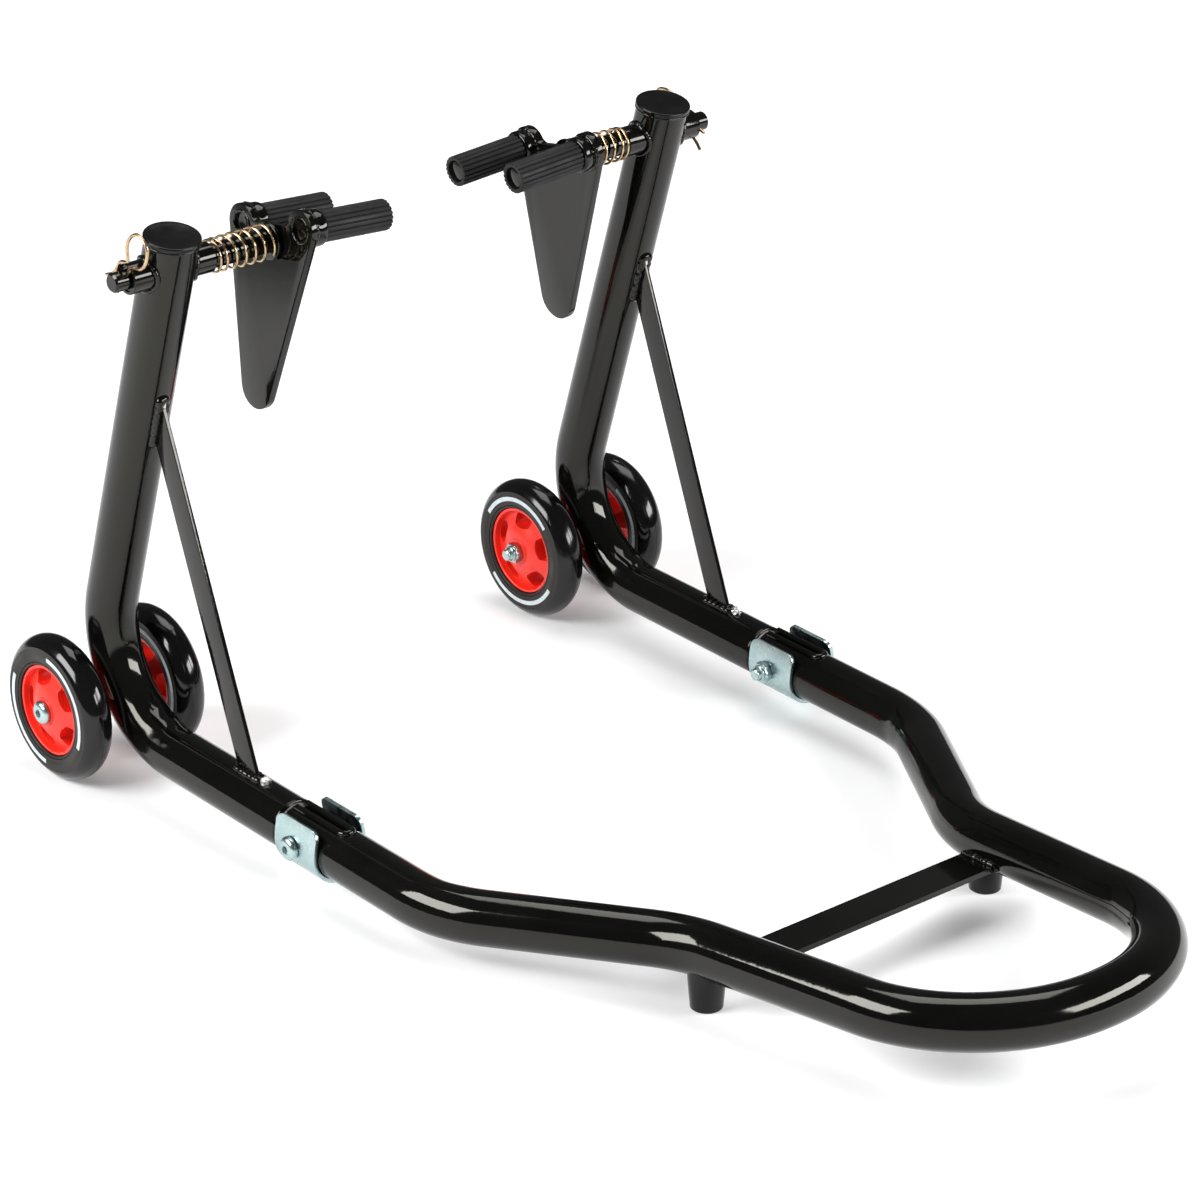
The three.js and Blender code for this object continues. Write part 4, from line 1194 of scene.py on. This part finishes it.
def slot_lip():
    """The raised edge that runs along both sides of the slot and round its end."""
    beside_slot, after_end, proud = 0.0009, 0.003, 0.0002
    half = SLOT_WIDTH / 2 + beside_slot
    start = handle_start + forward * after_end
    end = handle_start + forward * (SLOT_LENGTH - SLOT_WIDTH / 2)
    side_steps = 40
    plan = []
    for k in range(side_steps + 1):
        plan.append((-half, start.lerp(end, k / side_steps)))
    for x, back in arc(0, 0, half, 180, 360, 24)[1:]:
        plan.append((x, end - forward * back))
    for k in range(1, side_steps + 1):
        plan.append((half, end.lerp(start, k / side_steps)))
    up = quarter(forward)
    points = []
    for x, place in plan:
        points.append(ACROSS * x + place + up * (math.sqrt(TUBE_RADIUS ** 2 - x ** 2) + proud))
    stations = with_directions(points)
    return tube(stations, lambda i, spoke: LIP_RADIUS, 16, squared(stations, [up] * len(points)))


def side_tube_at(reach):
    share = (reach - NECK_REACH) / (HANDLE_REACH - NECK_REACH)
    return neck_corner.lerp(loop_corner, share)


def crossbar_slope():
    """The angle that lays the strip along the side tubes."""
    return math.atan2(HANDLE_RISE - NECK_RISE, NECK_REACH - HANDLE_REACH) + math.pi


def beside_crossbar(along, height, level):
    """A point by the strip's end, on the side tube's skin, where the skin has the given level."""
    stand_off = 0.0005
    lean = (loop_corner.x - neck_corner.x) / (loop_corner.y - neck_corner.y)
    depth = math.sqrt((TUBE_RADIUS + stand_off) ** 2 - level ** 2)
    place = turn_about_x(crossbar_slope()) @ in_plane(along, height)
    return side_tube_at(CROSSBAR_REACH) + place + Vector((lean * place.y - depth, 0, -CROSSBAR_BELOW))


def crossbar():
    centre = side_tube_at(CROSSBAR_REACH)
    half = CROSSBAR_WIDTH / 2
    thick = CROSSBAR_THICKNESS / 2
    outline = [(-half, -thick), (half, -thick), (half, thick), (-half, thick)]
    short_by = 0.004
    mesh = spun(flat_piece([outline], 2 * centre.x - short_by, SHEET_EDGE), crossbar_slope())
    return moved(mesh, in_plane(centre.y, centre.z - CROSSBAR_BELOW))


def crossbar_weld():
    """The bead on top of the strip's end, where it meets the side tube at +x."""
    top = CROSSBAR_THICKNESS / 2
    above, level_above = 0.0004, 0.0005

    def point_at(share):
        along = share * CROSSBAR_WIDTH / 2
        return beside_crossbar(along, top + above, top - CROSSBAR_BELOW + level_above)

    return open_bead(point_at, 48, in_plane(0, 1), CROSSBAR_BEAD)


def crossbar_end_weld(end):
    """The bead up the strip's edge at its end, toward the handle (-1) or the wheels (1)."""
    stand_off = 0.0006
    along = end * (CROSSBAR_WIDTH / 2 + stand_off)
    half_height = 0.65 * CROSSBAR_THICKNESS

    def point_at(share):
        height = share * half_height
        return beside_crossbar(along, height, height - CROSSBAR_BELOW)

    return open_bead(point_at, 12, in_plane(end, 0), CROSSBAR_END_BEAD)


def foot():
    """A plug that is slightly tapered, with its rounded underside on the floor and its top in the tube."""
    top = side_tube_at(FOOT_REACH)
    in_tube = top.z - FOOT_IN_TUBE
    profile = [(0, 0)]
    profile += arc(FOOT_EDGE, FOOT_BOTTOM_RADIUS - FOOT_EDGE, FOOT_EDGE, 180, 96)
    for down, less in FOOT_NECK:
        profile.append((top.z - down, FOOT_TOP_RADIUS - less))
    profile += [(in_tube, 0)]
    return moved(upright(turned(profile, sides=64)), Vector((top.x + FOOT_OFFSET, top.y, 0)))


# Materials
class Shader:
    """A material whose noise textures are placed in metres; a grain is a noise's scale and detail."""

    def __init__(self, name, color, roughness, metallic=0.0, specular=0.5):
        self.material = bpy.data.materials.new(name)
        self.material.use_nodes = True
        self.nodes = self.material.node_tree.nodes
        self.links = self.material.node_tree.links
        self.surface = self.nodes["Principled BSDF"].inputs
        self.place = self.nodes.new("ShaderNodeTexCoord").outputs["Object"]
        self.color = (*color, 1)
        self.roughness = roughness
        self.surface["Base Color"].default_value = self.color
        self.surface["Roughness"].default_value = roughness
        self.surface["Metallic"].default_value = metallic
        self.surface["Specular IOR Level"].default_value = specular
        self.height = None

    def node(self, kind, values, links):
        """A new node with some inputs set and others linked."""
        node = self.nodes.new(kind)
        for name, value in values.items():
            node.inputs[name].default_value = value
        for name, output in links.items():
            self.links.new(output, node.inputs[name])
        return node

    def noise(self, scale, detail, stretch=(1, 1, 1)):
        mapping = self.node("ShaderNodeMapping", {"Scale": stretch}, {"Vector": self.place})
        place = {"Vector": mapping.outputs["Vector"]}
        return self.node("ShaderNodeTexNoise", {"Scale": scale, "Detail": detail}, place).outputs["Fac"]

    def ramp(self, value, low, high, start, end):
        limits = {"From Min": start, "From Max": end, "To Min": low, "To Max": high}
        return self.node("ShaderNodeMapRange", limits, {"Value": value}).outputs["Result"]

    def tint(self, grain, other, start=0.35, end=0.65):
        """Mixes the colour so far with another where the noise is high."""
        factor = self.ramp(self.noise(*grain), 0, 1, start, end)
        mix = self.nodes.new("ShaderNodeMix")
        mix.data_type = "RGBA"
        self.links.new(factor, mix.inputs["Factor"])
        socket = self.surface["Base Color"]
        if socket.is_linked:
            self.links.new(socket.links[0].from_socket, mix.inputs["A"])
        else:
            mix.inputs["A"].default_value = self.color
        mix.inputs["B"].default_value = (*other, 1)
        self.links.new(mix.outputs["Result"], socket)

    def vary_roughness(self, grain, spread, start=0.3, end=0.7):
        low = self.roughness - spread
        high = self.roughness + spread
        self.links.new(self.ramp(self.noise(*grain), low, high, start, end), self.surface["Roughness"])

    def bump(self, grain, height, strength):
        """Adds fine relief of a height in metres."""
        links = {"Height": self.noise(*grain)}
        if self.height is not None:
            links["Normal"] = self.height
        node = self.node("ShaderNodeBump", {"Strength": strength, "Distance": height}, links)
        self.height = node.outputs["Normal"]
        self.links.new(self.height, self.surface["Normal"])


def black_paint():
    shader = Shader("gloss_black", (0.0015, 0.0015, 0.0012), 0.08, specular=0.38)
    shader.surface["Specular Tint"].default_value = (1.0, 0.98, 0.9, 1)
    shader.tint((14, 4), (0.0032, 0.0032, 0.0026))
    shader.tint((900, 2), (0.03, 0.03, 0.028), 0.76, 0.82)
    shader.vary_roughness((22, 5), 0.03)
    shader.bump((230, 2), 0.00012, 0.3)
    shader.bump((38, 2), 0.0005, 0.08)
    return shader.material


def satin_black():
    shader = Shader("satin_black", (0.002, 0.002, 0.0019), 0.2, specular=0.3)
    shader.tint((30, 4), (0.006, 0.006, 0.0058))
    shader.vary_roughness((60, 5), 0.08)
    shader.bump((700, 3), 0.00008, 0.5)
    return shader.material


def peg_rubber_black():
    shader = Shader("peg_rubber", (0.006, 0.006, 0.0063), 0.6, specular=0.3)
    shader.tint((55, 5), (0.011, 0.011, 0.0115))
    shader.vary_roughness((80, 4), 0.1)
    shader.bump((1100, 4), 0.00009, 0.6)
    return shader.material


def tread_black():
    shader = Shader("tyre_black", (0.002, 0.002, 0.0022), 0.12, specular=0.4)
    shader.tint((18, 4), (0.004, 0.004, 0.004))
    shader.vary_roughness((40, 5), 0.05)
    shader.bump((50, 2), 0.0004, 0.15)
    return shader.material


def sidewall_black():
    shader = Shader("tyre_sidewall", (0.013, 0.012, 0.01), 0.45, specular=0.25)
    shader.tint((45, 5), (0.019, 0.0175, 0.0145))
    shader.vary_roughness((90, 4), 0.08)
    shader.bump((1400, 3), 0.00006, 0.5)
    return shader.material


def ring_white():
    shader = Shader("tyre_ring_print", (0.55, 0.62, 0.65), 0.45)
    shader.tint((300, 4), (0.42, 0.48, 0.5), 0.5, 0.8)
    shader.vary_roughness((200, 3), 0.06)
    shader.bump((1600, 2), 0.00004, 0.4)
    return shader.material


def hub_red():
    shader = Shader("hub_red", (0.86, 0.026, 0.011), 0.36)
    shader.surface["Subsurface Weight"].default_value = 0.04
    shader.surface["Subsurface Scale"].default_value = 0.002
    shader.tint((35, 4), (0.75, 0.018, 0.008))
    shader.vary_roughness((70, 4), 0.07)
    shader.bump((900, 3), 0.00008, 0.4)
    return shader.material


def zinc_plate():
    shader = Shader("zinc", (0.45, 0.57, 0.57), 0.3, 1.0)
    shader.tint((60, 4), (0.39, 0.52, 0.52))
    shader.tint((420, 4), (0.55, 0.64, 0.64), 0.55, 0.8)
    shader.vary_roughness((160, 5), 0.07)
    shader.bump((700, 4, (1, 6, 1)), 0.00004, 0.35)
    return shader.material


def bare_steel():
    shader = Shader("bare_steel", (0.78, 0.76, 0.74), 0.34, 1.0)
    shader.tint((140, 5), (0.56, 0.54, 0.52))
    shader.vary_roughness((260, 5), 0.12)
    shader.bump((900, 4), 0.00006, 0.6)
    return shader.material


def yellow_zinc():
    shader = Shader("yellow_zinc", (0.56, 0.44, 0.22), 0.24, 1.0)
    shader.tint((120, 3), (0.54, 0.33, 0.22))
    shader.tint((210, 3), (0.46, 0.46, 0.25), 0.55, 0.75)
    shader.vary_roughness((300, 4), 0.08)
    shader.bump((1500, 3), 0.00003, 0.4)
    return shader.material


# Each look is a list of materials with its slot.
paint = ([black_paint()], "gloss_black")
satin = ([satin_black()], "satin_black")
sleeve_rubber = ([peg_rubber_black()], "peg_rubber")
tyre_look = ([tread_black(), sidewall_black(), ring_white()], "tyre_black")
red = ([hub_red()], "hub_red")
zinc = ([zinc_plate()], "zinc")
gold = ([yellow_zinc()], "yellow_zinc")
steel = ([bare_steel()], "zinc")


# Assembly
def add(name, mesh, look, body, *nodes):
    """Puts a finished piece into the scene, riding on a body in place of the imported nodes."""
    materials, slot = look
    mesh.name = name
    for material in materials:
        mesh.materials.append(material)
    piece = in_scene(name, mesh)
    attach(piece, body)
    if nodes:
        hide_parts(*nodes)
    return piece


def on_side(mesh, sign, x=LEG_HALF):
    """The mesh of a leg's piece, moved to its side: mirrored for the left one."""
    mesh = mesh.copy()
    mesh.transform(Matrix.Translation((sign * x, 0, 0)) @ Matrix.Scale(sign, 4, (1, 0, 0)))
    if sign < 0:
        mesh.flip_normals()
    return mesh


def add_finished(side, node, mesh, look, body, x=LEG_HALF):
    """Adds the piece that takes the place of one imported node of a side."""
    return add(f"{side}_{node}_finished", on_side(mesh, SIDES[side], x), look, body, f"{side}_{node}")


def add_trim(side, name, mesh, look, body, x=LEG_HALF):
    """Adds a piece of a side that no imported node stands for."""
    add(f"{side}_{name}", on_side(mesh, SIDES[side], x), look, body)


def add_fixed(side):
    """Everything on one side that stays with the frame."""
    clamp_seat = SADDLE_INSIDE + SADDLE_SHEET + GAP
    pieces = [
        ("leg_tube", leg_tube(), paint),
        ("top_cap", top_cap(), satin),
        ("gusset", gusset(), paint),
        ("lift_tube", lift_tube(), paint),
        ("axle_tube", axle_tube(), paint),
        ("axle_bolt", bolt(BOLT_SEAT, axle), zinc),
        ("axle_nut", nut(-BOLT_SEAT, axle), zinc),
        ("clamp_saddle", saddle(), zinc),
        ("clamp_bolt", bolt(clamp_seat, clamp_bolt_at), zinc),
        ("clamp_nut", nut(-clamp_seat, clamp_bolt_at), zinc),
    ]
    for node, mesh, look in pieces:
        add_finished(side, node, mesh, look, "frame")
    welds = {
        "cap": cap_weld(),
        "lift_tube_outer": lift_tube_weld(1),
        "lift_tube_inner": lift_tube_weld(-1),
        "axle_upper": axle_weld(1),
        "axle_lower": axle_weld(-1),
        "gusset_upper": gusset_weld_at_upright(),
        "gusset_lower": gusset_weld_at_base(),
        "slot_lip": slot_lip(),
    }
    for name, mesh in welds.items():
        add_trim(side, f"weld_{name}", mesh, paint, "frame")
    add_trim(side, "spigot_ring", spigot_ring(), steel, "frame")
    for name, mesh in weld_blobs().items():
        add_trim(side, f"weld_blob_{name}", mesh, steel, "frame")


def add_wheels(side, hub_mesh):
    for name, offset in (("outer", WHEEL_OFFSET), ("inner", -WHEEL_OFFSET)):
        wheel = f"{side}_{name}"
        rubber = moved(tyre(math.radians(RING_TURNS[wheel])), axle)
        centre = moved(spun(hub_mesh.copy(), math.radians(HUB_TURNS[wheel])), axle)
        add_finished(side, f"{name}_tyre", rubber, tyre_look, f"{wheel}_wheel", LEG_HALF + offset)
        add_finished(side, f"{name}_hub", centre, red, f"{wheel}_wheel", LEG_HALF + offset)


def add_head(side):
    """Everything on one side that slides and turns with the lift pin, and the spring round it."""
    body = f"{side}_head"
    pieces = [
        ("lift_pin", lift_pin(), paint),
        ("lift_plate", tilted(lift_plate()), paint),
        ("wheel_side_peg", tilted(peg(1)), paint),
        ("handle_side_peg", tilted(peg(-1)), paint),
        ("wheel_side_rubber", tilted(peg_rubber(1)), sleeve_rubber),
        ("handle_side_rubber", tilted(peg_rubber(-1)), sleeve_rubber),
        ("clip", clip(CLIP_TURNS[side]), gold),
    ]
    for node, mesh, look in pieces:
        add_finished(side, node, mesh, look, body)
    for ear, name in ((-1, "handle_side"), (1, "wheel_side")):
        at = on_head(ear * EAR_SPREAD, EAR_RISE)
        ring = weld_round(at, -PLATE_TO_LEG - PLATE_EDGE, EAR_HOLE_RADIUS + EAR_BEAD[0], EAR_BEAD)
        root = weld_round(at, plate_inner, COLLAR_RADIUS - 0.0006, PEG_BEAD)
        add_trim(side, f"{name}_ear_ring", tilted(ring), paint, body)
        add_trim(side, f"{name}_peg_weld", tilted(root), paint, body)
    add_finished(side, "spring_seat", spring_seat(), paint, f"{side}_slider")
    coil = add_finished(side, "spring", spring(), gold, "frame")
    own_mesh(coil)


def add_handle():
    add("handle_tube_finished", handle_tube(), paint, "frame", "handle_tube")
    add("crossbar_finished", crossbar(), paint, "frame", "crossbar")
    for side in SIDES:
        add_finished(side, "foot", foot(), satin, "frame", x=0)
        add_trim(side, "weld_crossbar_top", crossbar_weld(), paint, "frame", x=0)
        add_trim(side, "weld_crossbar_handle_end", crossbar_end_weld(-1), paint, "frame", x=0)
        add_trim(side, "weld_crossbar_wheel_end", crossbar_end_weld(1), paint, "frame", x=0)


hub_mesh = hub()
for side in SIDES:
    add_fixed(side)
    add_wheels(side, hub_mesh)
    add_head(side)
add_handle()


# Studio
def add_floor():
    bpy.ops.mesh.primitive_plane_add(size=12)
    floor = bpy.context.object
    floor.name = "floor"
    shader = Shader("floor_white", (0.86, 0.86, 0.86), 0.75, specular=0.1)
    shader.tint((0.6, 2), (0.84, 0.84, 0.84))
    shader.surface["Emission Color"].default_value = (1, 1, 1, 1)
    shader.surface["Emission Strength"].default_value = 0.18
    floor.data.materials.append(shader.material)


def add_light(kind, name, place, target, power):
    """Adds a light that points from its place at a target, and gives its settings back."""
    light = bpy.data.lights.new(name, kind)
    light.energy = power
    lamp = in_scene(name, light)
    lamp.location = place
    lamp.rotation_euler = (Vector(target) - Vector(place)).to_track_quat("-Z", "Y").to_euler()
    return light


def add_panel(name, place, target, width, height, power):
    light = add_light("AREA", name, place, target, power)
    light.shape = "RECTANGLE"
    light.size = width
    light.size_y = height


def add_spot(name, place, target, angle, power):
    """A soft-edged spot that lights the floor only, so that the paint doesn't mirror it."""
    light = add_light("SPOT", name, place, target, power)
    light.spot_size = angle
    light.spot_blend = 1.0
    light.shadow_soft_size = 0.3


def add_world():
    world = bpy.data.worlds.new("studio")
    bpy.context.scene.world = world
    world.use_nodes = True
    background = world.node_tree.nodes["Background"]
    background.inputs["Color"].default_value = (0.9, 0.92, 0.95, 1)
    background.inputs["Strength"].default_value = 0.1


# The photograph's camera
CAMERA_AT = (-1.738, -1.9734, 1.3802)
CAMERA_AZIMUTH = math.radians(-40.291)
CAMERA_ELEVATION = math.radians(24.587)
CAMERA_ROLL = math.radians(0.087)
IMAGE_WIDTH = 1200
FOCAL_PIXELS = 4639


def add_view():
    """Plain display of the light, so that the floor is as white as a studio sweep."""
    bpy.context.scene.view_settings.view_transform = "Standard"


def add_camera():
    camera = bpy.data.cameras.new("photo_camera")
    camera.sensor_width = 36
    camera.lens = FOCAL_PIXELS * camera.sensor_width / IMAGE_WIDTH
    camera.clip_end = 50
    a, e, r = CAMERA_AZIMUTH, CAMERA_ELEVATION, CAMERA_ROLL
    back = Vector((math.sin(a) * math.cos(e), -math.cos(a) * math.cos(e), math.sin(e)))
    level = Vector((math.cos(a), math.sin(a), 0))
    up = back.cross(level)
    right = level * math.cos(r) + up * math.sin(r)
    up = up * math.cos(r) - level * math.sin(r)
    holder = in_scene("photo_camera", camera)
    turn = Matrix((right, up, back)).transposed().to_4x4()
    holder.matrix_world = Matrix.Translation(CAMERA_AT) @ turn
    bpy.context.scene.camera = holder


add_floor()
add_world()
add_panel("overhead", (0.5, 0.6, 2.3), (0, 0, 0), 1.6, 1.2, 24)
add_panel("left_panel", (-1.7, 0.6, 1.3), (0, 0, 0.1), 1.3, 0.9, 54)
add_panel("right_panel", (1.0, -1.7, 1.06), (0, 0, 0.05), 1.9, 0.62, 58)
add_spot("background", (1.5, 1.9, 2.2), (1.2, 1.5, 0), math.radians(62), 170)
add_camera()
add_view()
